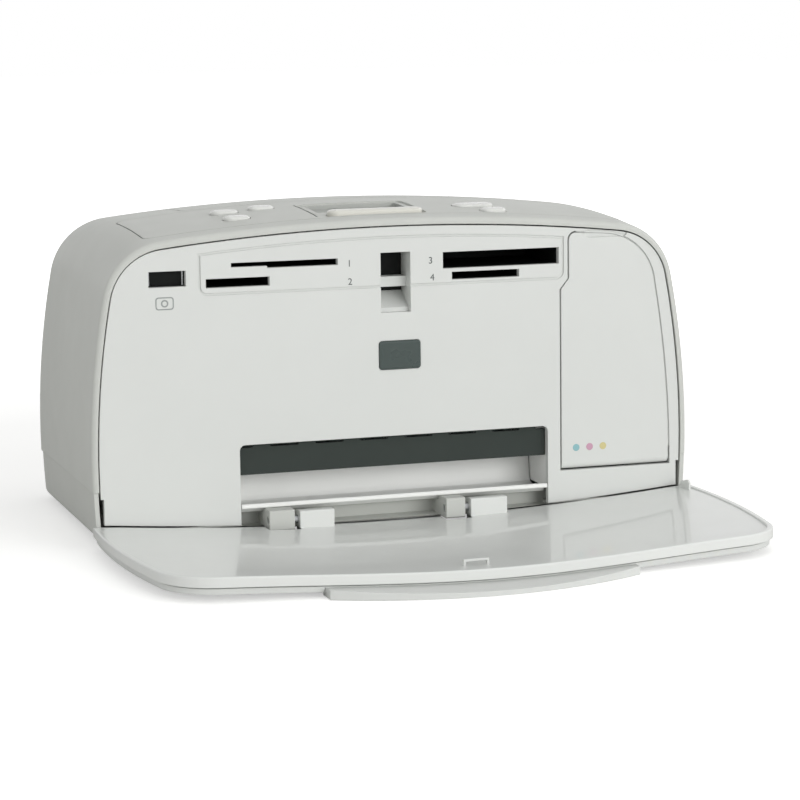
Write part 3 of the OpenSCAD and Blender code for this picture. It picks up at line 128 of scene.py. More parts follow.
def arc(centre, radius, start, stop, steps):
    """Points on an arc between two angles in degrees."""
    turns = [math.radians(start + (stop - start) * i / steps) for i in range(steps + 1)]
    return [(centre[0] + radius * math.cos(t), centre[1] + radius * math.sin(t)) for t in turns]


def circles_meet(p, p_radius, q, q_radius):
    """Where two circles meet, on the right of the line from p to q."""
    dx, dz = q[0] - p[0], q[1] - p[1]
    gap = math.hypot(dx, dz)
    along = (p_radius ** 2 - q_radius ** 2 + gap ** 2) / (2 * gap)
    out = math.sqrt(p_radius ** 2 - along ** 2)
    ux, uz = dx / gap, dz / gap
    return (p[0] + along * ux + out * uz, p[1] + along * uz - out * ux)


def arch(top, half, corner, foot, across="arch_radius"):
    """The arch of the front, anticlockwise from the foot of its right side."""
    top_c = (0, top - mm(across))
    side_c = (half - mm("side_radius"), mm("widest_height"))
    corner_c = circles_meet(top_c, mm(across) - corner, side_c, mm("side_radius") - corner)
    rise = math.degrees(math.atan2(corner_c[1] - side_c[1], corner_c[0] - side_c[0]))
    over = math.degrees(math.atan2(corner_c[1] - top_c[1], corner_c[0] - top_c[0]))
    start = math.degrees(math.asin((foot - side_c[1]) / mm("side_radius")))
    right = arc(side_c, mm("side_radius"), start, rise, 10)
    right += arc(corner_c, corner, rise, over, 14)[1:]
    right += arc(top_c, mm(across), over, 90, 14)[1:]
    return right + [(-x, z) for x, z in reversed(right[:-1])]


def rounded(x, z, width, height, radius, steps=6):
    """A rectangle with round corners about its middle."""
    points = []
    for k, (sx, sz) in enumerate(((1, 1), (-1, 1), (-1, -1), (1, -1))):
        centre = (x + sx * (width / 2 - radius), z + sz * (height / 2 - radius))
        points += arc(centre, radius, 90 * k, 90 * k + 90, steps)
    return points


def pill(at, grow=0.0):
    """The outline of a button with round ends."""
    return rounded(at[0], at[1], at[2] + 2 * grow, at[3] + 2 * grow, at[3] / 2 + grow - 0.01, 10)


def rectangle(low, high, grow=0.0):
    """A rectangle from its low and high corners."""
    left, under, right, over = low[0] - grow, low[1] - grow, high[0] + grow, high[1] + grow
    return [(left, under), (right, under), (right, over), (left, over)]


def side_at(z):
    """Half of the casing's width at a height."""
    reach = mm("side_radius")
    return mm("case_width") / 2 - reach + math.sqrt(reach ** 2 - (z - mm("widest_height")) ** 2)


def top_at(y):
    """Height of the middle of the top at y."""
    return mm("case_height") - (y - mm("crown_back")) ** 2 / (2 * mm("crown_radius"))


def surface_at(x, y):
    """Height of the top at x and y."""
    return top_at(y) - x * x / (2 * mm("arch_radius"))


# ---- Solids ----

def loft(rings):
    """A closed solid through rings of equally many points."""
    bm = bmesh.new()
    loops = []
    for points in rings:
        verts = [bm.verts.new(p) for p in points]
        loops.append([bm.edges.new((verts[i - 1], v)) for i, v in enumerate(verts)])
    for near, far in zip(loops, loops[1:]):
        bmesh.ops.bridge_loops(bm, edges=near + far)
    for end in (loops[0], loops[-1]):
        bmesh.ops.contextual_create(bm, geom=end)
    bmesh.ops.recalc_face_normals(bm, faces=bm.faces)
    return bm


def point(axis, at, a, b):
    """A point from its place along an axis and its two other numbers in order."""
    return {"x": (at, a, b), "y": (a, at, b), "z": (a, b, at)}[axis]


def prism(bm, outline, low, high, axis="y"):
    """Extrudes an outline along an axis; the outline's two numbers are the other axes."""
    face = bm.faces.new([bm.verts.new(point(axis, low, a, b)) for a, b in outline])
    grown = bmesh.ops.extrude_face_region(bm, geom=[face])["geom"]
    bmesh.ops.translate(bm, vec=point(axis, high - low, 0, 0),
                        verts=[g for g in grown if isinstance(g, bmesh.types.BMVert)])
    return bm


def brick(bm, low, high):
    """Adds a box between two corners."""
    size = [h - l for l, h in zip(low, high)]
    middle = [(h + l) / 2 for l, h in zip(low, high)]
    bmesh.ops.create_cube(bm, size=1.0,
                          matrix=Matrix.Translation(middle) @ Matrix.Diagonal(size + [1]))
    return bm


def rod(bm, low, high, axis, centre, radius, segments=48):
    """Adds a round bar along an axis, between low and high."""
    turn = {"x": Matrix.Rotation(math.pi / 2, 4, "Y"), "y": Matrix.Rotation(-math.pi / 2, 4, "X"),
            "z": Matrix.Identity(4)}[axis]
    place = Matrix.Translation(point(axis, (low + high) / 2, *centre))
    bmesh.ops.create_cone(bm, cap_ends=True, segments=segments, radius1=radius, radius2=radius,
                          depth=high - low, matrix=place @ turn)
    return bm


def to_mesh(bm, name="scratch"):
    """A mesh of a solid, which is freed."""
    mesh = bpy.data.meshes.new(name)
    bm.to_mesh(mesh)
    bm.free()
    return mesh


def from_mesh(mesh, bm=None):
    """A solid of a mesh, which is removed; it may stand beside what bm holds."""
    bm = bmesh.new() if bm is None else bm
    bm.from_mesh(mesh)
    bpy.data.meshes.remove(mesh)
    return bm


def add_object(name, data):
    made = bpy.data.objects.new(name, data)
    bpy.context.scene.collection.objects.link(made)
    return made


def scratch_object(bm):
    """A passing object that a boolean can use; the solid is freed."""
    bmesh.ops.recalc_face_normals(bm, faces=bm.faces)
    return add_object("scratch", to_mesh(bm))


def evaluated(made):
    """The solid of an object as its modifiers or its text shape it."""
    bpy.context.view_layer.update()
    return from_mesh(bpy.data.meshes.new_from_object(
        made.evaluated_get(bpy.context.evaluated_depsgraph_get())))


def combine(bm, *tools, operation="DIFFERENCE"):
    """The solid after each tool in turn was taken from it, joined to it or crossed with it."""
    for tool in tools:
        base, other = scratch_object(bm), scratch_object(tool)
        cut = base.modifiers.new("cut", "BOOLEAN")
        cut.object, cut.operation, cut.solver, cut.use_self = other, operation, "EXACT", True
        bm = evaluated(base)
        for used in (base, other):
            data = used.data
            bpy.data.objects.remove(used)
            bpy.data.meshes.remove(data)
        bmesh.ops.remove_doubles(bm, verts=bm.verts, dist=WELD)
        bmesh.ops.dissolve_degenerate(bm, edges=bm.edges, dist=WELD)
        if not bm.faces:
            raise RuntimeError("a cut left nothing over")
    return bm


def soften(bm, width, angle=40, segments=2, only=None):
    """Rounds the edges that are sharper than the angle."""
    sharp = [e for e in bm.edges if len(e.link_faces) == 2
             and e.calc_face_angle(0) > math.radians(angle) and (only is None or only(e))]
    bmesh.ops.bevel(bm, geom=sharp, offset=width, offset_type="OFFSET", affect="EDGES",
                    segments=segments, profile=0.5, material=-1, clamp_overlap=True)
    return bm


def finish_piece(name, bm, body, slot, stands_for=(), smooth=30, finish=None):
    """Turns a solid in millimetres into a piece in the frame that rides on its body."""
    bmesh.ops.recalc_face_normals(bm, faces=bm.faces)
    bmesh.ops.transform(bm, verts=bm.verts,
                        matrix=Matrix.Scale(MM, 4) @ Matrix.Translation((0, FACE_Y, 0)))
    mesh = to_mesh(bm, name)
    mesh.shade_smooth()
    mesh.set_sharp_from_angle(angle=math.radians(smooth))
    mesh.materials.append(finishes()[finish or slot])
    piece = add_object(name, mesh)
    # Large flat faces keep their own normal beside small roundings
    piece.modifiers.new("even shading", "WEIGHTED_NORMAL").keep_sharp = True
    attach(piece, body)
    if stands_for:
        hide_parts(*stands_for)
    return piece


# ---- Finishes ----

def add_node(tree, kind, inputs=None, **settings):
    """Adds a shader node; an input is a value, an output, or a node for its first output."""
    node = tree.nodes.new("ShaderNode" + kind)
    for name, value in settings.items():
        setattr(node, name, value)
    for socket, value in (inputs or {}).items():
        if isinstance(value, bpy.types.Node):
            value = value.outputs[0]
        if isinstance(value, bpy.types.NodeSocket):
            tree.links.new(value, node.inputs[socket])
        else:
            node.inputs[socket].default_value = value
    return node


def start_finish(name, **settings):
    """A material with one Principled shader; underscores in a setting stand for spaces."""
    material = bpy.data.materials.new(name)
    material.use_nodes = True
    tree = material.node_tree
    tree.nodes.clear()
    shader = add_node(tree, "BsdfPrincipled",
                      {key.replace("_", " "): value for key, value in settings.items()})
    add_node(tree, "OutputMaterial", {"Surface": shader})
    return material, tree, shader


def grain(tree, shader, size, depth, edge=0.3, stretch=(1, 1, 1)):
    """Bump with grains of a size over softly rounded edges; returns the coordinates."""
    place = add_node(tree, "TexCoord")
    where = add_node(tree, "Mapping", {"Vector": place.outputs["Object"], "Scale": stretch})
    noise = add_node(tree, "TexNoise", {"Vector": where, "Scale": 1 / (size * MM), "Detail": 2.0})
    edges = add_node(tree, "Bevel", {"Radius": edge * MM}, samples=4)
    bump = add_node(tree, "Bump", {"Height": noise, "Strength": 1.0, "Distance": depth * MM,
                                   "Normal": edges})
    tree.links.new(bump.outputs["Normal"], shader.inputs["Normal"])
    return where


def wander(tree, where, size, low, high):
    """A slow change between two numbers over patches of a size in millimetres."""
    noise = add_node(tree, "TexNoise", {"Vector": where, "Scale": 1 / (size * MM),
                                        "Detail": 3.0, "Roughness": 0.6})
    return add_node(tree, "MapRange", {"Value": noise, "From Min": 0.3, "From Max": 0.7,
                                       "To Min": low, "To Max": high})


def tint(tree, shader, where, colour, size, change):
    """Lets the colour drift a little lighter and darker over patches of a size."""
    shift = wander(tree, where, size, 1 - change, 1 + change)
    toned = add_node(tree, "HueSaturation", {"Color": colour, "Value": shift})
    tree.links.new(toned.outputs["Color"], shader.inputs["Base Color"])


def gloss(tree, shader, where, size, low, high):
    """Lets the roughness drift between two numbers over patches of a size."""
    tree.links.new(wander(tree, where, size, low, high).outputs["Result"],
                   shader.inputs["Roughness"])


def moulded(name, colour, rough, grain_size, depth, coat=0.0, coat_rough=0.1, edge=0.3,
            ior=1.53, change=0.012, sheen=0.5):
    """An opaque moulded plastic: grain, drifting gloss and a slight drift of colour."""
    material, tree, shader = start_finish(name, IOR=ior, Coat_Weight=coat,
                                          Coat_Roughness=coat_rough, Specular_IOR_Level=sheen)
    where = grain(tree, shader, grain_size, depth, edge)
    tint(tree, shader, where, colour, 40, change)
    gloss(tree, shader, where, 12, rough - 0.04, rough + 0.04)
    return material


def metal(name, colour, rough, stretch, size=0.4, depth=0.002):
    """A bare metal with the fine lines of its drawing or rolling."""
    material, tree, shader = start_finish(name, Metallic=1.0)
    where = grain(tree, shader, size, depth, 0.2, stretch)
    tint(tree, shader, where, colour, 8, 0.05)
    gloss(tree, shader, where, 3, rough - 0.07, rough + 0.07)
    return material


def circuit_board(name):
    """Glass-epoxy board under green solder mask, with paler copper tracks below it."""
    material, tree, shader = start_finish(name, IOR=1.5, Coat_Weight=0.3)
    where = grain(tree, shader, 0.5, 0.01)
    tracks = add_node(tree, "TexBrick",
                      {"Vector": where, "Scale": 1 / (4 * MM), "Color1": paint("#1E5A3A"),
                       "Color2": paint("#236443"), "Mortar": paint("#3A8159"),
                       "Mortar Size": 0.03}, offset=0.3)
    tree.links.new(tracks.outputs["Color"], shader.inputs["Base Color"])
    gloss(tree, shader, where, 5, 0.3, 0.45)
    return material


def printed_film(name):
    """Clear polyester strip with the fine dark bars that the carriage counts."""
    material, tree, shader = start_finish(name, IOR=1.6)
    where = grain(tree, shader, 1.0, 0.003)
    bars = add_node(tree, "TexWave", {"Vector": where, "Scale": 1 / (3 * MM)},
                    wave_type="BANDS", bands_direction="X")
    steps = add_node(tree, "ValToRGB", {"Fac": bars.outputs["Fac"]})
    for mark, code in zip(steps.color_ramp.elements, ("#5B6067", "#A9AFB6")):
        mark.color = paint(code)
    tree.links.new(steps.outputs["Color"], shader.inputs["Base Color"])
    gloss(tree, shader, where, 10, 0.15, 0.25)
    return material


def display_pane(name):
    """Clear acrylic over the dark display: deep black-green with a mirror-like top."""
    material, tree, shader = start_finish(name, IOR=1.49, Coat_Weight=1.0, Coat_Roughness=0.02)
    where = grain(tree, shader, 6.0, 0.004)
    tint(tree, shader, where, paint("#3A4342"), 15, 0.05)
    gloss(tree, shader, where, 8, 0.06, 0.12)
    return material


FINISHES = {}


def finishes():
    """The material of every slot of the part, made once."""
    if FINISHES:
        return FINISHES
    pick = bpy.context.scene.printer_colours
    FINISHES.update({
        # Injection-moulded ABS from a spark-eroded tool: even, soft, slightly pebbled
        "casing_plastic": moulded("ABS moulded fine texture", pick.casing, 0.5, 0.7, 0.014),
        # The same ABS from a stoned tool: smoother, with a low sheen
        "front_plastic": moulded("ABS moulded satin", pick.front, 0.42, 0.9, 0.006),
        # ABS from a polished tool: a clear faint reflection over a soft, bright floor
        "tray_plastic": moulded("ABS moulded polished", pick.tray, 0.34, 18, 0.004, coat=0.5,
                                coat_rough=0.03, sheen=0.3),
        # The casing's ABS with a finer texture
        "panel_plastic": moulded("ABS moulded panel texture", pick.casing, 0.48, 0.7, 0.012),
        # Gloss keys, lacquered after moulding
        "button_plastic": moulded("ABS moulded gloss key", pick.button, 0.25, 3, 0.004,
                                  coat=0.6, edge=0.4),
        "ivory_plastic": moulded("ABS moulded ivory key", pick.select, 0.3, 3, 0.004,
                                 coat=0.4, edge=0.4),
        # Plain polystyrene: the white well of the exit and parts of the paper path; its
        # near-white is partly painted light, paler than the front so that the well reads bright
        # in the exit's shade
        "white_plastic": moulded("Polystyrene moulded white and painted light", paint("#F4F5F2"), 0.45, 0.9,
                                 0.006),
        # Glass-filled PBT: matt, faintly speckled; the same black also paints the shade at the
        # back of the latch pocket
        "black_plastic": moulded("PBT moulded black and painted shade", paint("#121413"), 0.6, 0.5, 0.01,
                                 change=0.08, sheen=0.2),
        # ABS dyed dark grey: matt, so that it stays dark beside the white front; on the wheel
        # guard this dark grey is also painted shade for the unlit inside behind the exit
        "dark_plastic": moulded("ABS moulded dark grey and painted shade", pick.dark, 0.6, 0.7, 0.01,
                                change=0.05, sheen=0.25),
        # Stoved lacquer on a zinc plate: deep teal with a clear gloss
        "badge_teal": moulded("Lacquered badge plate", pick.badge, 0.3, 5, 0.004, coat=0.8,
                              coat_rough=0.05, edge=0.25, change=0.03),
        "display_glass": display_pane("Acrylic display pane"),
        "board_green": circuit_board("Glass epoxy solder masked"),
        # Cold-drawn and ground steel: bright, with fine lines along the bar
        "steel": metal("Steel ground bright", paint("#B9BBBD"), 0.25, (0.1, 1, 1)),
        # Rolled sheet with a zinc coat: paler, dull and clouded
        "zinc_steel": metal("Sheet steel zinc plated", paint("#A9AEB1"), 0.42, (1, 0.3, 1),
                            1.5, 0.01),
        # Turned brass of the small pinions and pulleys: fine rings round the axis
        "brass": metal("Brass turned", paint("#B99A54"), 0.3, (1, 1, 0.2)),
        # Ground elastomer: dark, dry and slightly rough
        "rubber": moulded("Rubber ground black", paint("#26272A"), 0.75, 0.4, 0.02,
                          ior=1.52, change=0.06),
        "gray_rubber": moulded("Rubber ground grey", paint("#6C6E6E"), 0.7, 0.4, 0.02,
                               ior=1.52, change=0.05),
        # Acetal: a waxy, warm white
        "acetal_white": moulded("Acetal moulded natural", paint("#DCDBD4"), 0.35, 0.9, 0.004,
                                ior=1.48),
        "encoder_film": printed_film("Polyester film printed"),
        # Screen-printed ink on the front
        "print_ink": moulded("Ink screen printed grey", paint("#5E6362"), 0.5, 0.4, 0.003,
                             change=0.05),
        "pale_ink": moulded("Ink screen printed pale", paint("#9BA09E"), 0.5, 0.4, 0.003,
                            change=0.05),
        "cyan_ink": moulded("Ink printed cyan", paint("#8DB9BE"), 0.35, 0.6, 0.003),
        "magenta_ink": moulded("Ink printed magenta", paint("#C79BB0"), 0.35, 0.6, 0.003),
        "yellow_ink": moulded("Ink printed yellow", paint("#CFC48D"), 0.35, 0.6, 0.003),
    })
    return FINISHES


# ---- Places, in millimetres: x to the right, z up, y to the back ----

SEAM_Z = 19.5                       # between the tub and the upper shell
TOP_WALL, SIDE_WALL = 2.5, 2.3
UNDER, ABOVE = 60, 130              # cuts from above run between these heights
AHEAD, BEHIND = -1, 5               # cuts through the front plate run between these depths
PLATE_FRONT, PLATE_BACK = 0.4, 2.8
FOOT_Z = 4.3                        # foot of the front plate's outline
EXIT_HALF, EXIT_RIGHT, EXIT_TOP = 57.9, 56.3, 32.8
EXIT_CORNER = 2
EXIT_LIP = 10.2
READER_LOW, READER_LEFT, READER_RIGHT = 85.5, -71.2, 62.7
READER_ROUND = 3
BORDER_IN, GROOVE = 3.7, 0.8        # the groove around the card slots
USB_SLOT = ((-88.7, 89.1), (-75.6, 94.5))
WIDE_SLOT = [(-59.6, 94.9), (-46.8, 94.9), (-46.8, 94.2), (-21.4, 94.2), (-21.4, 96.4),
             (-59.6, 96.4)]
LOWER_SLOT = ((-68.6, 88.1), (-46, 91.2))
FLASH_SLOT = ((17.2, 91.2), (60.8, 97.0))
SECURE_SLOT = ((20.5, 87.2), (45.7, 89.9))
LATCH_X = (-5.8, 5.1)
LATCH_Z = (76.6, 83.2, 97.7)        # front and back of the pocket's floor, and its top
LATCH_DEPTH = 11
LEDGE_Z = (85.2, 88.8)
BADGE = (0.8, 61.5, 15.2, 10.1)
DOOR_LEFT = 61.6
DOOR_FOOT = 16.6
DOOR_JOG_Z = 81.8                   # over this the door's left edge steps to the right
DOOR_JOG = (3.1, 3.9)
DOOR_IN = (32.5, 31.5)              # its round corner's middle, in from the side and the top
DOOR_RADIUS = 20
DOOR_LEAN, DOOR_CREST = 4.8, 87     # the angles at which that corner starts and ends
DOOR_BULGE = 6
DOOR_BEND = 2.5
GRIP_OFF, GRIP_SIZE = (1.4, 20.6), (16, 3.6, 1.4)
DOOR_AXIS = (2.2, 18.4)
DOOR_BARREL, DOOR_PIN = 1.8, 0.9
EAR_SLOT, EAR_SLOT_TOP = 106.19, 17.0
DECK_TOP = 5.5                      # the tray's floor and rim before they are bowed
RIM_TOP = 6.9
DECK_SINK, DECK_CURVE, DECK_HALF = -2.7, 0.00044, 106
RIM_SINK, RIM_RISE, RIM_HALF = -0.95, 2.35, 95
TRAY_AXIS = (-2.5, 6.0)
LUGS = ((-49.2, -40.2), (15.6, 22.6))
ARMS = ((-38.4, -26), (24.6, 38.2))
PANEL_HALF, PANEL_Y, PANEL_ROUND = 87.7, (8, 57), 4
FLAP_HALF, FLAP_FRONT, FLAP_ROUND = 62, 62, 2
FLAP_AXIS = (109.3, 76.8)
REAR_HALF, REAR_Z = 45, (26, 70)
REAR_AXIS = (109.1, 27.7)
POST_X = 101.3
POSTS = [(-1, 24), (1, 24), (-1, 97.8), (1, 97.8)]
USB_PORT = (-84, 28, 9.6, 8.6)
INLET, INLET_HOLE = (-66, 28), 4.1
# Each button: x and y of its middle, width and depth
BUTTONS = {"menu_button": (-52.5, 37, 10, 6), "layout_button": (-52, 21, 9.5, 6),
           "save_button": (-38.5, 39, 9.5, 6), "select_pad": (-3.5, 14, 35, 7),
           "print_button": (36.5, 24, 15, 6.5), "cancel_button": (40.5, 13, 9.5, 6)}
BUTTON_GAP = 0.35
DISPLAY = (-5, 31, 34, 19)
RECESS_Y, RECESS_OVER, RECESS_DEPTH = (9.3, 42), 5.5, 0.6
PANEL_GROOVE = ((-25.9, 11), (-25.2, 42))
GLASS_TOP, GLASS = 110.6, 1.6
SWITCH_TOP = GLASS_TOP - 6.4        # where the stems of the keys end


def door_corner():
    """The middle of the arc round the door's upper right corner."""
    return mm("case_width") / 2 - DOOR_IN[0], mm("case_height") - DOOR_IN[1]


def door_outline(grow):
    """The cartridge door's outline, grown by a seam; its second point is the right foot."""
    corner = arc(door_corner(), DOOR_RADIUS + grow, DOOR_LEAN, DOOR_CREST, 16)
    side, crest = corner[0], corner[-1]
    low = DOOR_FOOT - grow
    left = DOOR_LEFT + DOOR_JOG[0] - grow
    foot = side[0] + (side[1] - low) * math.tan(math.radians(DOOR_LEAN))
    outline = [(DOOR_LEFT - grow, low), (foot, low)]
    for i in range(1, 10):
        up = i / 10
        outline.append((foot + (side[0] - foot) * up + DOOR_BULGE * up * (1 - up),
                        low + (side[1] - low) * up))
    rest = crest[1] + (crest[0] - left) * math.tan(math.radians(90 - DOOR_CREST))
    bend = DOOR_BEND + grow
    outline += corner + arc((left + bend, rest - bend), bend, 180 - DOOR_CREST, 180, 6)
    return outline + [(left, DOOR_JOG_Z + DOOR_JOG[1]), (DOOR_LEFT - grow, DOOR_JOG_Z)]


def door_grip():
    """The shallow finger recess over the top edge of the door."""
    x, z = door_corner()
    return prism(bmesh.new(), rounded(x + GRIP_OFF[0], z + GRIP_OFF[1], *GRIP_SIZE), AHEAD,
                 PLATE_FRONT + 0.7)


def on_front(edge):
    """Whether an edge lies on the face of the front plate or the door."""
    return max(v.co.y for v in edge.verts) < PLATE_FRONT + 0.1


def deck_lift(x):
    """How far the tray's bowed floor stands over its flat height."""
    return DECK_SINK + DECK_CURVE * min(abs(x), DECK_HALF) ** 2


def rim_lift(x):
    """How far the tray's bowed rim stands over its flat height."""
    return RIM_SINK + RIM_RISE * math.sin(math.radians(90 * min(abs(x) / RIM_HALF, 1))) ** 2


# ---- The casing ----

def case_form(start, foot, top_in=0, side_in=0, rim=0):
    """The casing's form from start to the back, drawn in by its walls; rim rounds its front."""
    def ring(y, shrink):
        outline = arch(top_at(y) - top_in - shrink, mm("case_width") / 2 - side_in - shrink,
                       mm("corner_radius") - (top_in + side_in) / 2 - shrink, foot)
        return [(x, y, z) for x, z in outline]
    rear = mm("rear_radius") - side_in
    end = mm("case_depth") - mm("rear_radius")
    rings = []
    for turn in ([math.radians(a) for a in range(0, 90, 15)] if rim else ()):
        rings.append(ring(rim * (1 - math.cos(turn)), rim * (1 - math.sin(turn))))
    rings += [ring(start + (end - start) * i / 14, 0) for i in range(15)]
    for turn in (math.radians(7.5 * i) for i in range(1, 13)):
        rings.append(ring(end + rear * math.sin(turn), rear * (1 - math.cos(turn))))
    return loft(rings)


def outer_casing():
    return case_form(mm("rim_radius"), SEAM_Z, rim=mm("rim_radius"))


def casing_wall():
    return combine(outer_casing(), case_form(-1, SEAM_Z - 1, TOP_WALL, SIDE_WALL))


def panel_room(grow):
    """The upright block that the control panel takes from the top, grown by a seam."""
    return prism(bmesh.new(), rounded(0, sum(PANEL_Y) / 2, 2 * PANEL_HALF + 2 * grow,
                                      PANEL_Y[1] - PANEL_Y[0] + 2 * grow, PANEL_ROUND + grow,
                                      10), UNDER, ABOVE, "z")


def flap_room(grow):
    """The upright block that the input flap takes from the top and back, grown by a seam."""
    depth = mm("case_depth") + 10 - FLAP_FRONT
    low = FLAP_AXIS[1] - (1.5 + grow if grow else 0)
    return prism(bmesh.new(), rounded(0, FLAP_FRONT + depth / 2, 2 * FLAP_HALF + 2 * grow,
                                      depth + 2 * grow, FLAP_ROUND + grow, 8), low, ABOVE, "z")


class PRINTER_OT_casing(bpy.types.Operator):
    """Makes the curved upper shell of the printer with its openings"""
    bl_idname = "printer.casing"
    bl_label = "Casing"

    def execute(self, context):
        seam = mm("seam")
        back = 113
        openings = prism(bmesh.new(), rectangle((-REAR_HALF, REAR_Z[0]), (REAR_HALF, REAR_Z[1]),
                                                seam), 102.5, back)
        prism(openings, rounded(*USB_PORT, 0.4, 3), 106, back)
        rod(openings, 106, back, "y", INLET, INLET_HOLE)
        shell = combine(casing_wall(), panel_room(seam), flap_room(seam), openings)
        self.posts(shell)
        # Cheeks that hold the pins of the rear door and the input flap
        wide, reach = 3, 2.5
        for half, axis in ((REAR_HALF, REAR_AXIS), (FLAP_HALF, FLAP_AXIS)):
            for low in (half + seam, -half - seam - wide):
                brick(shell, (low, 107, axis[1] - reach), (low + wide, 109, axis[1] + reach))
        finish_piece("casing_shell", shell, "casing", "casing_plastic", ("top_casing",), 25)
        return {"FINISHED"}

    def posts(self, shell):
        """The four screw posts, each on a rib from the wall."""
        top, radius = 32, 3.2
        for side, y in POSTS:
            rod(shell, SEAM_Z, top, "z", (side * POST_X, y), radius)
            reach = sorted((side * POST_X, side * (side_at(SEAM_Z) - 1.5)))
            brick(shell, (reach[0], y - 1, SEAM_Z), (reach[1], y + 1, top))


def tub_ring(z, shrink, wall, front):
    """One level of the tub, drawn in by its wall; its corners are round at the back."""
    half = side_at(z) - 0.5 - wall - shrink
    back = mm("case_depth") - 0.5 - wall - shrink
    radius = mm("rear_radius") - wall - shrink
    outline = [(-half, front + shrink)]
    outline += arc((-half + radius, back - radius), radius, 180, 90, 12)
    outline += arc((half - radius, back - radius), radius, 90, 0, 12)
    return [(x, y, z) for x, y in outline + [(half, front + shrink)]]


class PRINTER_OT_tub(bpy.types.Operator):
    """Makes the lower shell with the recess for the tray's hinge"""
    bl_idname = "printer.tub"
    bl_label = "Bottom tub"

    def execute(self, context):
        foot, radius, front, wall = 2.2, 3, 0.7, 1.6
        floor, shelf, recess_back = 2.7, 8.3, 10
        levels = (foot + radius, 8, 12, 16)
        tub = [tub_ring(foot + radius * (1 - math.cos(turn)), radius * (1 - math.sin(turn)), 0,
                        front) for turn in (math.radians(a) for a in range(0, 90, 15))]
        tub = loft(tub + [tub_ring(z, 0, 0, front) for z in (*levels, SEAM_Z)])
        # The inside, thicker round its foot, then the open front
        inside = [tub_ring(z, 0, 3.0 if z < 8 else wall, 2.0)
                  for z in (4.2, 7.99, 8, 12, 16, SEAM_Z + 1)]
        mouth = [tub_ring(z, 0, wall, -1) for z in (*levels, SEAM_Z + 1)]
        tub = combine(tub, loft(inside), loft(mouth),
                      brick(bmesh.new(), (-EXIT_HALF, -1, 3.2), (EXIT_HALF, recess_back, 21)))
        shelves = brick(bmesh.new(), (-EXIT_HALF - 1, recess_back, floor),
                        (EXIT_HALF + 1, 11.6, shelf))
        lug = [(-5.4, 3.2), (-5.4, 9.6), (-5.0, 10.0), (2.4, 10.0), (4, 8.2), (10.5, 8.2),
               (10.5, floor), (-4.6, floor)]
        for low, high in LUGS:
            prism(shelves, lug, low, high, "x")
        tub = combine(tub, shelves, self.seats(), operation="UNION")
        finish_piece("tub_shell", combine(tub, self.holes()), "casing", "casing_plastic",
                     ("bottom_tub",), 25)
        return {"FINISHED"}

    def seats(self):
        """Stands under the chassis, posts of the case screws and the ports' shelf."""
        low = 3.7
        seats = bmesh.new()
        for x, y in ((-70, 47), (52, 47), (-30, 47), (96, 47)):
            rod(seats, low, 6, "z", (x, y), 4)
        for side, y in POSTS:
            rod(seats, low, SEAM_Z, "z", (side * POST_X, y), 3.8)
        brick(seats, (-92, 94.8, low), (-57, 96.8, 22.5))
        brick(seats, (-92, 96.8, 20.9), (-57, 106.8, 22.5))
        return seats

    def holes(self):
        """Rooms for the feet, the case screws with their heads and the tray's pins."""
        holes = bmesh.new()
        for side in (-1, 1):
            for y in (12, 84.8):
                rod(holes, 1.2, 3.2, "z", (side * 84, y), 6.1)
        for side, y in POSTS:
            rod(holes, 0, 5.2, "z", (side * POST_X, y), 3)
            rod(holes, 5.0, 21, "z", (side * POST_X, y), 1.6)
        for low, high in LUGS:
            rod(holes, low - 1, high + 1, "x", TRAY_AXIS, 1.55)
        return holes


# ---- The front ----

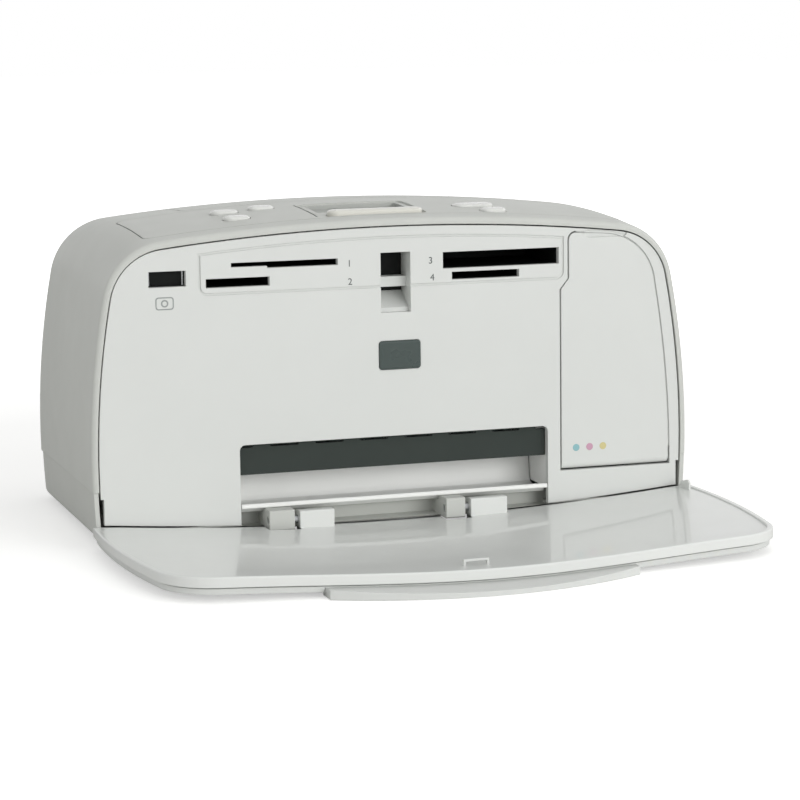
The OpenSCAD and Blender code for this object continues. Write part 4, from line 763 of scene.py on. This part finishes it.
class PRINTER_OT_front(bpy.types.Operator):
    """Makes the front plate with its card slots, latch pocket and paper exit"""
    bl_idname = "printer.front"
    bl_label = "Front plate"

    def execute(self, context):
        seam = mm("seam")
        top = top_at(0) - TOP_WALL
        half = mm("case_width") / 2 - SIDE_WALL
        corner = mm("corner_radius") - 3
        plate = prism(bmesh.new(), arch(top - seam, half - seam, corner - seam, FOOT_Z),
                      PLATE_FRONT, PLATE_BACK)
        foot = [(x, DECK_TOP + deck_lift(x) + 0.3) for x in range(-116, 117, 4)]
        foot = prism(bmesh.new(), [(-116, 0), (116, 0)] + foot[::-1], AHEAD, BEHIND)
        badge = prism(bmesh.new(), rounded(*BADGE[:2], BADGE[2] + 0.2, BADGE[3] + 0.2, 1.2),
                      AHEAD, 2.0)
        groove = combine(self.frame_line(top, half, corner, 0),
                         self.frame_line(top, half, corner, GROOVE))
        plate = combine(plate, self.openings(seam), foot, door_grip(), groove, badge)
        soften(plate, mm("edge_round"), only=on_front)
        self.latch_pocket(plate)
        self.door_stop(plate, seam)
        # Bearings of the door's pin
        wide, reach = 1.3, 2.4
        for x in (DOOR_LEFT - seam - wide, door_outline(0)[1][0] + seam):
            brick(plate, (x, PLATE_BACK - 0.01, EAR_SLOT_TOP),
                  (x + wide, DOOR_AXIS[0] + reach, DOOR_AXIS[1] + reach))
        finish_piece("front_plate", plate, "casing", "front_plastic", ("front_fascia",), 35)
        self.port_liner()
        # A dark plate at the back of the latch pocket paints the shade of the unlit inside
        self.painted_shade_pocket_back()
        return {"FINISHED"}

    def openings(self, seam):
        """The exit, the slots, the door's opening, the latch pocket and the ears' notches."""
        middle, wide = (EXIT_RIGHT - EXIT_HALF) / 2, EXIT_RIGHT + EXIT_HALF
        cuts = bmesh.new()
        for outline in (rounded(middle, EXIT_TOP / 2, wide, EXIT_TOP, EXIT_CORNER),
                        rounded(middle, 5, wide, 30, 0.1, 1), rectangle(*USB_SLOT),
                        rectangle(*LOWER_SLOT), rectangle(*FLASH_SLOT), rectangle(*SECURE_SLOT),
                        WIDE_SLOT, door_outline(seam),
                        rectangle((LATCH_X[0], LATCH_Z[0]), (LATCH_X[1], LATCH_Z[2]))):
            prism(cuts, outline, AHEAD, BEHIND)
        for side in (-1, 1):
            reach = sorted((side * EAR_SLOT, side * 112))
            brick(cuts, (reach[0], AHEAD, 0), (reach[1], 4, EAR_SLOT_TOP))
        return cuts

    def frame_line(self, top, half, corner, inset):
        """The field around the card slots: the plate's arch over a rounded window."""
        whole = prism(bmesh.new(), arch(top - BORDER_IN - inset, half - BORDER_IN, corner,
                                        FOOT_Z), AHEAD, PLATE_FRONT + 0.4)
        over = 120
        window = rounded((READER_RIGHT + READER_LEFT) / 2, (READER_LOW + over) / 2,
                         READER_RIGHT - READER_LEFT - 2 * inset, over - READER_LOW - 2 * inset,
                         READER_ROUND - inset)
        return combine(whole, prism(bmesh.new(), window, -2, 3), operation="INTERSECT")

    def latch_pocket(self, plate):
        """The pocket for the tray's hook, with a sloping floor and a white ledge."""
        wall, back = 1.4, PLATE_FRONT + LATCH_DEPTH
        (left, right), (low, high, top) = LATCH_X, LATCH_Z
        box = brick(bmesh.new(), (left - wall, PLATE_BACK - 0.01, low - wall),
                    (right + wall, PLATE_BACK + LATCH_DEPTH, top + 0.8))
        side = [(-1, low - 0.8), (PLATE_FRONT, low), (back, high), (back, top), (-1, top)]
        from_mesh(to_mesh(combine(box, prism(bmesh.new(), side, left, right, "x"))), plate)
        brick(plate, (left - 0.2, PLATE_FRONT + 5, LEDGE_Z[0]),
              (right + 0.2, PLATE_BACK + LATCH_DEPTH - 2, LEDGE_Z[1]))

    def door_stop(self, plate, seam):
        """The lip in the seam along the door's right and top edges."""
        lip = prism(bmesh.new(), door_outline(seam + 0.3), PLATE_FRONT + 0.5, PLATE_BACK - 0.1)
        lip = combine(lip, prism(bmesh.new(), door_outline(0.1), AHEAD, BEHIND),
                      brick(bmesh.new(), (0, AHEAD, 0), (130, BEHIND, DOOR_FOOT + 6)),
                      brick(bmesh.new(), (0, AHEAD, 0), (DOOR_LEFT + 6, BEHIND, 130)))
        from_mesh(to_mesh(lip), plate)

    def port_liner(self):
        """The black sleeve with a closed back that lines the slot of the USB host port."""
        (left, low), (right, high) = USB_SLOT
        out, wall = 0.4, 0.3
        liner = combine(brick(bmesh.new(), (left - out, PLATE_BACK + 0.02, low - out),
                              (right + out, PLATE_BACK + 1.3, high + out)),
                        brick(bmesh.new(), (left + wall, 0, low + wall),
                              (right - wall, PLATE_BACK + 0.9, high - wall)))
        soften(liner, 0.15, only=lambda e: min(v.co.y for v in e.verts) < PLATE_BACK + 0.1)
        finish_piece("port_liner", liner, "casing", "black_plastic")

    def painted_shade_pocket_back(self):
        """The dark plate at the back of the latch pocket, behind the white ledge: painted shade
        for the unlit inside that the pocket really opens into.
        """
        back = PLATE_FRONT + LATCH_DEPTH
        finish_piece("painted_shade_pocket_back", brick(bmesh.new(), (LATCH_X[0], back - 0.3, LATCH_Z[1] + 0.1),
                                          (LATCH_X[1], back + 0.1, LATCH_Z[2])),
                     "casing", "black_plastic")


class PRINTER_OT_exit(bpy.types.Operator):
    """Makes the white well that the sheets leave by, kept pale as painted light in the exit's
    shade, and the dark guard over its wheels, whose dark grey also paints the shade of the unlit
    inside
    """
    bl_idname = "printer.exit"
    bl_label = "Paper exit"

    def execute(self, context):
        lip, left, right = EXIT_LIP, -EXIT_HALF, EXIT_RIGHT
        # From the lip over the low floor to the steep back wall, and back underneath
        side = [(3, lip), (PLATE_FRONT + 0.3, lip), (PLATE_FRONT, lip + 0.3),
                (PLATE_FRONT, lip + 1.2), (0.8, 11.8), (1.6, 11.8), (2.6, 11.2), (4.2, 9.8),
                (6.4, 9.3), (16.4, 9.3), (18.2, 10), (19.2, 12), (20.5, 22.3), (20.9, 20.3),
                (20.4, 12), (19, 9.2), (17, 8.4), (5, 8.4)]
        well = prism(bmesh.new(), side, left + 0.3, right - 0.3, "x")
        cheek = 1.6
        for x in (left - cheek, right):
            brick(well, (x, 2.9, lip), (x + cheek, 20.5, EXIT_TOP + 1))
        # The well's near-white is partly painted light: paler than the front so that it reads
        # bright in the exit's shade
        finish_piece("exit_well", well, "casing", "white_plastic", ("exit_ramp",), 35)
        # The guard is dark ABS whose even dark grey also paints the shade of the unlit inside
        # behind the exit
        front, back, low, high = 2.95, 3.8, 21.8, EXIT_TOP - 1.3
        guard = brick(bmesh.new(), (left + 0.3, front, low), (right - 0.1, back, high))
        pitch, tab_half = 16.5, 3.2
        tabs = [brick(bmesh.new(), (i * pitch - tab_half, front, high - 1),
                      (i * pitch + tab_half, back, EXIT_TOP + 0.4)) for i in range(-3, 4)]
        guard = soften(combine(guard, *tabs, operation="UNION"), 0.25)
        finish_piece("wheel_guard_painted_shade", guard, "casing", "dark_plastic")
        return {"FINISHED"}


class PRINTER_OT_door(bpy.types.Operator):
    """Makes the ink cartridge door with its grip recess and hinge barrel"""
    bl_idname = "printer.door"
    bl_label = "Cartridge door"

    def execute(self, context):
        past = mm("seam") + 1.2
        right = door_outline(0)[1][0]
        door = combine(prism(bmesh.new(), door_outline(0), PLATE_FRONT, PLATE_BACK),
                       brick(bmesh.new(), (0, AHEAD, 0), (120, BEHIND, DOOR_AXIS[1])),
                       door_grip())
        soften(door, mm("edge_round"), only=on_front)
        rod(door, DOOR_LEFT, right - 0.3, "x", DOOR_AXIS, DOOR_BARREL)
        rod(door, DOOR_LEFT - past, right + past, "x", DOOR_AXIS, DOOR_PIN, segments=32)
        # Two upright ribs stiffen the back
        for x in (DOOR_LEFT + 3, right - 10):
            brick(door, (x, PLATE_BACK - 0.01, DOOR_AXIS[1] + 6),
                  (x + 1.2, PLATE_BACK + 2.2, DOOR_JOG_Z - 6))
        finish_piece("door_panel", door, "cartridge_door", "front_plastic",
                     ("cartridge_door",), 35)
        return {"FINISHED"}


# ---- The top and the back ----

class PRINTER_OT_panel(bpy.types.Operator):
    """Makes the control panel with its display's pane and its six domed keys"""
    bl_idname = "printer.panel"
    bl_label = "Control panel"

    def execute(self, context):
        self.skin()
        pane = prism(bmesh.new(), rounded(*DISPLAY, 1.3, 6), GLASS_TOP - GLASS, GLASS_TOP, "z")
        finish_piece("display_pane", soften(pane, 0.25), "casing", "display_glass",
                     ("display_window",))
        for name, at in BUTTONS.items():
            slot = "ivory_plastic" if name == "select_pad" else "button_plastic"
            finish_piece(name + "_cap", self.key(at), name, slot, (name,), 50)
        return {"FINISHED"}

    def skin(self):
        """The panel, curved like the casing, with a shallow recess and its openings."""
        panel = combine(casing_wall(), panel_room(0), operation="INTERSECT")
        dish = prism(bmesh.new(), rounded(DISPLAY[0], sum(RECESS_Y) / 2,
                                          DISPLAY[2] + RECESS_OVER, RECESS_Y[1] - RECESS_Y[0],
                                          2, 8), UNDER, ABOVE, "z")
        lowered = outer_casing()
        bmesh.ops.translate(lowered, vec=(0, 0, -RECESS_DEPTH), verts=lowered.verts)
        holes = bmesh.new()
        for outline in [pill(at, BUTTON_GAP) for at in BUTTONS.values()] + [
                rounded(*DISPLAY[:2], DISPLAY[2] + 0.4, DISPLAY[3] + 0.4, 1.5, 5)]:
            prism(holes, outline, UNDER, ABOVE, "z")
        brick(holes, (*PANEL_GROOVE[0], 100), (*PANEL_GROOVE[1], ABOVE))
        panel = combine(panel, combine(dish, lowered), holes)
        finish_piece("panel_skin", panel, "casing", "panel_plastic", ("control_panel",), 25)

    def key(self, at):
        """A key: a domed pill over a flange under the panel and a stem to its switch."""
        low = min(surface_at(at[0] + sx * (at[2] / 2 + 1), at[1] + sy * (at[3] / 2 + 1))
                  for sx in (-1, 1) for sy in (-1, 1))
        flange = low - TOP_WALL - 0.3
        dome = 1.1
        shoulder = surface_at(at[0], at[1]) + mm("button_rise") - dome
        levels = [(flange - 1, 1.0), (flange, 1.0), (flange, 0.0), (shoulder, 0.0)]
        for turn in (math.radians(90 * i / 8) for i in range(1, 8)):
            levels.append((shoulder + dome * math.sin(turn),
                           -at[3] / 2 * 0.75 * (1 - math.cos(turn))))
        key = loft([[(x, y, z) for x, y in pill(at, grow)] for z, grow in levels])
        return rod(key, SWITCH_TOP, flange - 0.9, "z", at[:2], 1.6)


class PRINTER_OT_flaps(bpy.types.Operator):
    """Makes the paper input flap at the top of the back and the rear access door"""
    bl_idname = "printer.flaps"
    bl_label = "Input flap and rear door"

    def execute(self, context):
        back = mm("case_depth")
        flap = combine(casing_wall(), flap_room(0), operation="INTERSECT")
        self.hinge(flap, FLAP_HALF, FLAP_AXIS, 1.5, 0.8)
        finish_piece("flap_skin", flap, "input_flap", "casing_plastic", ("input_flap",), 25)
        door = prism(bmesh.new(), rectangle((-REAR_HALF, REAR_AXIS[1]), (REAR_HALF, REAR_Z[1])),
                     back - SIDE_WALL, back)
        door = combine(door, prism(bmesh.new(), rounded(0, REAR_Z[1] - 5, 22, 6, 2.5), 110, 112))
        soften(door, mm("edge_round"), only=lambda e: min(v.co.y for v in e.verts) > 109.8)
        self.hinge(door, REAR_HALF, REAR_AXIS, 1.7, 0.9)
        finish_piece("rear_panel", door, "rear_door", "casing_plastic", ("rear_door",), 35)
        return {"FINISHED"}

    def hinge(self, cover, half, axis, barrel, pin):
        """The barrel along a cover's edge with a pin through it."""
        rod(cover, -half, half, "x", axis, barrel)
        rod(cover, -half - 2, half + 2, "x", axis, pin, segments=24)


# ---- The tray ----

FOLD_Y = TRAY_AXIS[1] + TRAY_AXIS[0]
TRAY_TOP = 108.4
HOOK_Y, HOOK_Z = (-84, -82.8), (2.5, 4.2, 5.0)
GRIP_REACH, GRIP_WIDE, GRIP_X = 13, 104.6, -4.3


def tray_outline(inset):
    """The closed tray's arch laid down on the table."""
    half = mm("case_width") / 2 + mm("tray_over")
    outline = arch(TRAY_TOP - inset, half - inset, 21 - inset, 4.5, "tray_arch")
    return [(x, FOLD_Y - z) for x, z in outline]


def lug_room():
    """Notches in the tray's back edge, from each lug to its hinge arm."""
    room = bmesh.new()
    for (low, _), (arm, _) in zip(LUGS, ARMS):
        brick(room, (low - 0.8, -8.1, 0), (arm, 8, 12))
    return room


def bow(solid, lift):
    """Bends a flat solid across its width; lift gives a point's rise from its x and z."""
    for x in range(-108, 109, 6):
        parts = solid.verts[:] + solid.edges[:] + solid.faces[:]
        bmesh.ops.bisect_plane(solid, geom=parts, plane_co=(x, 0, 0), plane_no=(1, 0, 0),
                               dist=0.001)
    for vert in solid.verts:
        vert.co.z += lift(vert.co.x, vert.co.z)
    return solid


class PRINTER_OT_tray(bpy.types.Operator):
    """Makes the output tray: a polished floor in a low rim, with hinge arms, hook and cover"""
    bl_idname = "printer.tray"
    bl_label = "Output tray"

    def execute(self, context):
        self.deck()
        self.cover()
        return {"FINISHED"}

    def deck(self):
        """The floor in its rim, bowed, with the arms, the hook and an ear at the right."""
        under, deck, rim = 3.5, DECK_TOP, RIM_TOP
        # A neck leads down to the cover
        neck = prism(bmesh.new(), tray_outline(3), under - 0.5, under + 0.5, "z")
        tray = combine(prism(bmesh.new(), tray_outline(0), under, rim, "z"), neck,
                       operation="UNION")
        inside = prism(bmesh.new(), tray_outline(mm("tray_rim")), deck, rim + 2, "z")
        brick(inside, (-130, -3, deck), (130, 9, rim + 2))
        tray = combine(tray, inside, lug_room())
        soften(tray, 0.6, segments=3, only=lambda e: min(v.co.z for v in e.verts) > deck + 0.1)
        bow(tray, lambda x, z: deck_lift(x) if abs(z - deck) < 0.4 else rim_lift(x))
        arm = [(-6.0, 2.3), (-6.0, 9.1), (-5.7, 9.4)] + arc(TRAY_AXIS, 3.4, 90, -90, 12)
        for low, high in ARMS:
            prism(tray, arm, low, high, "x")
        self.hook(tray, LATCH_X[0] + 0.5, LATCH_X[1] - 1.5, 0.8)
        ear = [(-2.5, 5), (-2.5, 8), (-4, 10), (-9.5, 11.4), (-10.9, 10.4), (-10.9, 5)]
        prism(tray, ear, EAR_SLOT + 0.3, EAR_SLOT + 1.0, "x")
        finish_piece("tray_deck", tray, "tray", "tray_plastic", ("output_tray",), 35)

    def hook(self, tray, left, right, wide):
        """The low loop that the latch in the front plate catches."""
        for x in (left, right - wide):
            brick(tray, (x, HOOK_Y[0], HOOK_Z[0]), (x + wide, HOOK_Y[1], HOOK_Z[2]))
        brick(tray, (left + wide - 0.01, HOOK_Y[0], HOOK_Z[1]),
              (right - wide + 0.01, HOOK_Y[1], HOOK_Z[2]))

    def cover(self):
        """The outer cover with the grip that stands out at the tray's front edge."""
        front, half = TRAY_TOP - FOLD_Y, GRIP_WIDE / 2
        radius = (half ** 2 + GRIP_REACH ** 2) / (2 * GRIP_REACH)
        open_angle = math.degrees(math.asin(half / radius))
        grip = arc((0, -front - GRIP_REACH + radius), radius, 270 - open_angle,
                   270 + open_angle, 40)
        grip += [(half, -front + 8), (-half, -front + 8)]
        cover = combine(prism(bmesh.new(), tray_outline(1.2), 1, 3, "z"), lug_room())
        grip = prism(bmesh.new(), [(x + GRIP_X, y) for x, y in grip], 0, 2.6, "z")
        cover = soften(combine(cover, grip, operation="UNION"), 0.5, segments=3)
        bow(cover, lambda x, z: rim_lift(x) * min(z, 1))
        finish_piece("tray_skin", cover, "tray", "front_plastic", ("tray_cover",), 35)


# ---- Badge and prints ----

def printed_number(text, x, z, height):
    """A number as thin ink on the front plate."""
    curve = bpy.data.curves.new("number", "FONT")
    curve.body, curve.size, curve.extrude, curve.align_x = text, height * 1.4, 0.015, "CENTER"
    holder = add_object("number", curve)
    bm = evaluated(holder)
    bmesh.ops.remove_doubles(bm, verts=bm.verts, dist=0.001)
    bmesh.ops.rotate(bm, verts=bm.verts, cent=(0, 0, 0),
                     matrix=Matrix.Rotation(math.pi / 2, 3, "X"))
    bmesh.ops.translate(bm, verts=bm.verts, vec=(x, PLATE_FRONT - 0.02, z - height / 2))
    bpy.data.objects.remove(holder)
    bpy.data.curves.remove(curve)
    return bm


INK = (PLATE_FRONT - 0.04, PLATE_FRONT + 0.01)


class PRINTER_OT_prints(bpy.types.Operator):
    """Makes the bare badge, plain slot numbers, a small pictogram and a row of ink dots"""
    bl_idname = "printer.prints"
    bl_label = "Badge and prints"

    def execute(self, context):
        self.badge()
        places = (("1", -17.2, 94.6), ("2", -17, 88.2), ("3", 12.6, 94.4), ("4", 13.2, 88.4))
        for text, x, z in places:
            finish_piece("slot_number_" + text, printed_number(text, x, z, 2.4), "casing",
                         "dark_plastic", finish="print_ink")
        self.pictogram()
        self.ink_dots()
        return {"FINISHED"}

    def badge(self):
        """The bare plate with a fine raised rim."""
        plate = prism(bmesh.new(), rounded(*BADGE, 1.1), 0.1, 1.0)
        face = min(plate.faces, key=lambda f: f.calc_center_median().y)
        bmesh.ops.inset_region(plate, faces=[face], thickness=0.5, depth=0.0)
        bmesh.ops.inset_region(plate, faces=[face], thickness=0.12, depth=-0.12)
        finish_piece("badge_face", plate, "casing", "badge_teal", ("badge_plate",))

    def pictogram(self):
        """A plain outline of a camera under the socket for a cable."""
        x, z = -83.2, 83.5
        body = combine(prism(bmesh.new(), rounded(x, z, 6.4, 4.4, 1), *INK),
                       prism(bmesh.new(), rounded(x, z, 5.6, 3.6, 0.7), 0, 1))
        lens = combine(rod(bmesh.new(), *INK, "y", (x, z), 1.3),
                       rod(bmesh.new(), 0, 1, "y", (x, z), 0.8))
        finish_piece("cable_pictogram", from_mesh(to_mesh(lens), body), "casing",
                     "dark_plastic", finish="pale_ink")

    def ink_dots(self):
        """Three printed dots for the three inks, low on the cartridge door."""
        x, z, pitch = 72.4, 24.2, 5.2
        for place, name in enumerate(("cyan", "magenta", "yellow"), -1):
            dot = rod(bmesh.new(), *INK, "y", (x + place * pitch, z), 1.3)
            finish_piece("ink_dot_" + name, dot, "cartridge_door", "white_plastic",
                         finish=name + "_ink")


class PRINTER_OT_finishes(bpy.types.Operator):
    """Gives every remaining node of the frame its finish"""
    bl_idname = "printer.finishes"
    bl_label = "Finishes"

    def execute(self, context):
        made = finishes()
        slots = {s["node"]: s["material_slot"] for s in frame["record"]["subparts"]}
        for name, node in frame["nodes"].items():
            if name not in slots:
                raise RuntimeError(name + " has no material slot")
            if not node.material_slots:
                node.data.materials.append(None)
            for place in node.material_slots:
                place.material = made[slots[name]]
        return {"FINISHED"}


# ---- The stage, in metres ----

# Each lamp: place, diameter and power
LAMPS = {"key": ((1.5, -1.3, 0.9), 1.5, 9), "fill": ((0.7, -1.9, 0.32), 1.2, 20),
         "top": ((0.5, 0.0, 1.8), 1.4, 5), "bounce": ((-0.55, -0.25, 0.08), 0.35, 0.5)}
LAMPS_AIM = (0, 0, 0.05)
CAMERA_TURNS = (17.672, 8.471, -0.772)  # round the object, up, and about its own axis
CAMERA_AIM, CAMERA_AWAY = (0.523, 0, 45.46), 950  # in millimetres
CAMERA_FOCAL, SENSOR = 2694.22 / 800, 36  # focal length in widths of the picture


class PRINTER_OT_stage(bpy.types.Operator):
    """Makes the pale floor, the soft studio light and the camera"""
    bl_idname = "printer.stage"
    bl_label = "Stage"

    def execute(self, context):
        self.floor()
        self.world(context)
        self.lamps()
        self.camera(context)
        return {"FINISHED"}

    def floor(self):
        """Pale paper that the camera sees lifted to white, with its shadows kept."""
        bm = bmesh.new()
        bmesh.ops.create_grid(bm, x_segments=1, y_segments=1, size=6.0)
        floor = add_object("studio_floor", to_mesh(bm, "studio_floor"))
        material, tree, shader = start_finish("Paper sweep matt", Roughness=0.9,
                                              Base_Color=paint("#E6E6E4"),
                                              Specular_IOR_Level=0.0)
        # Further off, where the lamps fade, the sweep is lifted more
        where = add_node(tree, "TexCoord")
        far = add_node(tree, "VectorMath", {0: where.outputs["Object"]}, operation="LENGTH")
        lift = add_node(tree, "MapRange", {"Value": far.outputs["Value"], "From Min": 0.3,
                                           "From Max": 0.9, "To Min": 0.47, "To Max": 1.0})
        glow = add_node(tree, "Emission", {"Color": (1, 1, 1, 1), "Strength": lift})
        lifted = add_node(tree, "AddShader", {0: shader, 1: glow})
        path = add_node(tree, "LightPath")
        choice = add_node(tree, "MixShader", {"Fac": path.outputs["Is Camera Ray"],
                                              1: shader, 2: lifted})
        out = next(n for n in tree.nodes if n.type == "OUTPUT_MATERIAL")
        tree.links.new(choice.outputs["Shader"], out.inputs["Surface"])
        floor.data.materials.append(material)

    def world(self, context):
        """A white world, dimmer for the light that it gives than for what is seen of it."""
        world = bpy.data.worlds.new("studio")
        world.use_nodes = True
        tree = world.node_tree
        tree.nodes.clear()
        rays = add_node(tree, "LightPath").outputs
        seen = rays["Is Camera Ray"]
        for kind in ("Is Glossy Ray", "Is Transmission Ray"):
            seen = add_node(tree, "Math", {0: seen, 1: rays[kind]}, operation="MAXIMUM")
        strength = add_node(tree, "MapRange", {"Value": seen, "To Min": 0.45, "To Max": 1.0})
        sky = add_node(tree, "Background", {"Color": (1, 1, 1, 1), "Strength": strength})
        add_node(tree, "OutputWorld", {"Surface": sky})
        context.scene.world = world

    def lamps(self):
        """Round soft lamps that give no highlights of their own."""
        for name, (place, size, power) in LAMPS.items():
            light = bpy.data.lights.new(name, "AREA")
            light.shape, light.size, light.energy = "DISK", size, power
            lamp = add_object(name, light)
            lamp.location = place
            lamp.visible_glossy = False
            lamp.rotation_mode = "QUATERNION"
            aim = Vector(LAMPS_AIM) - Vector(place)
            lamp.rotation_quaternion = aim.to_track_quat("-Z", "Y")

    def camera(self, context):
        turn, rise, roll = (math.radians(a) for a in CAMERA_TURNS)
        target = Vector(CAMERA_AIM) + Vector((0, FACE_Y, 0))
        back = Vector((-math.sin(turn) * math.cos(rise), -math.cos(turn) * math.cos(rise),
                       math.sin(rise)))
        right = (-back).cross(Vector((0, 0, 1))).normalized()
        up = right.cross(-back)
        flat = math.cos(roll) * right + math.sin(roll) * up
        lifted = math.cos(roll) * up - math.sin(roll) * right
        data = bpy.data.cameras.new("studio_camera")
        data.sensor_width = SENSOR
        data.lens = CAMERA_FOCAL * SENSOR
        data.clip_start, data.clip_end = 0.1, 50
        camera = add_object("studio_camera", data)
        camera.location = (target + back * CAMERA_AWAY) * MM
        camera.rotation_mode = "QUATERNION"
        camera.rotation_quaternion = Matrix((flat, lifted, back)).transposed().to_quaternion()
        context.scene.camera = camera
        context.scene.view_settings.view_transform = "Standard"


class PRINTER_PT_panel(bpy.types.Panel):
    """Lists the printer's sizes, colours and steps in the sidebar"""
    bl_label = "Photo Printer"
    bl_space_type = "VIEW_3D"
    bl_region_type = "UI"
    bl_category = "Photo Printer"

    def draw(self, context):
        for group in (context.scene.printer_sizes, context.scene.printer_colours):
            for name in group.__annotations__:
                self.layout.prop(group, name)
        for maker in OPERATORS:
            self.layout.operator(maker.bl_idname)


# In the order in which main runs them
OPERATORS = (PRINTER_OT_casing, PRINTER_OT_tub, PRINTER_OT_front, PRINTER_OT_exit,
             PRINTER_OT_door, PRINTER_OT_panel, PRINTER_OT_flaps, PRINTER_OT_tray,
             PRINTER_OT_prints, PRINTER_OT_finishes, PRINTER_OT_stage)
CLASSES = (PrinterSizes, PrinterColours, *OPERATORS, PRINTER_PT_panel)


def register():
    for made in CLASSES:
        bpy.utils.register_class(made)
    bpy.types.Scene.printer_sizes = PointerProperty(type=PrinterSizes)
    bpy.types.Scene.printer_colours = PointerProperty(type=PrinterColours)


def unregister():
    del bpy.types.Scene.printer_colours
    del bpy.types.Scene.printer_sizes
    for made in reversed(CLASSES):
        bpy.utils.unregister_class(made)


def main():
    register()
    for maker in OPERATORS:
        getattr(bpy.ops.printer, maker.bl_idname.split(".")[1])()


if __name__ == "__main__":
    main()
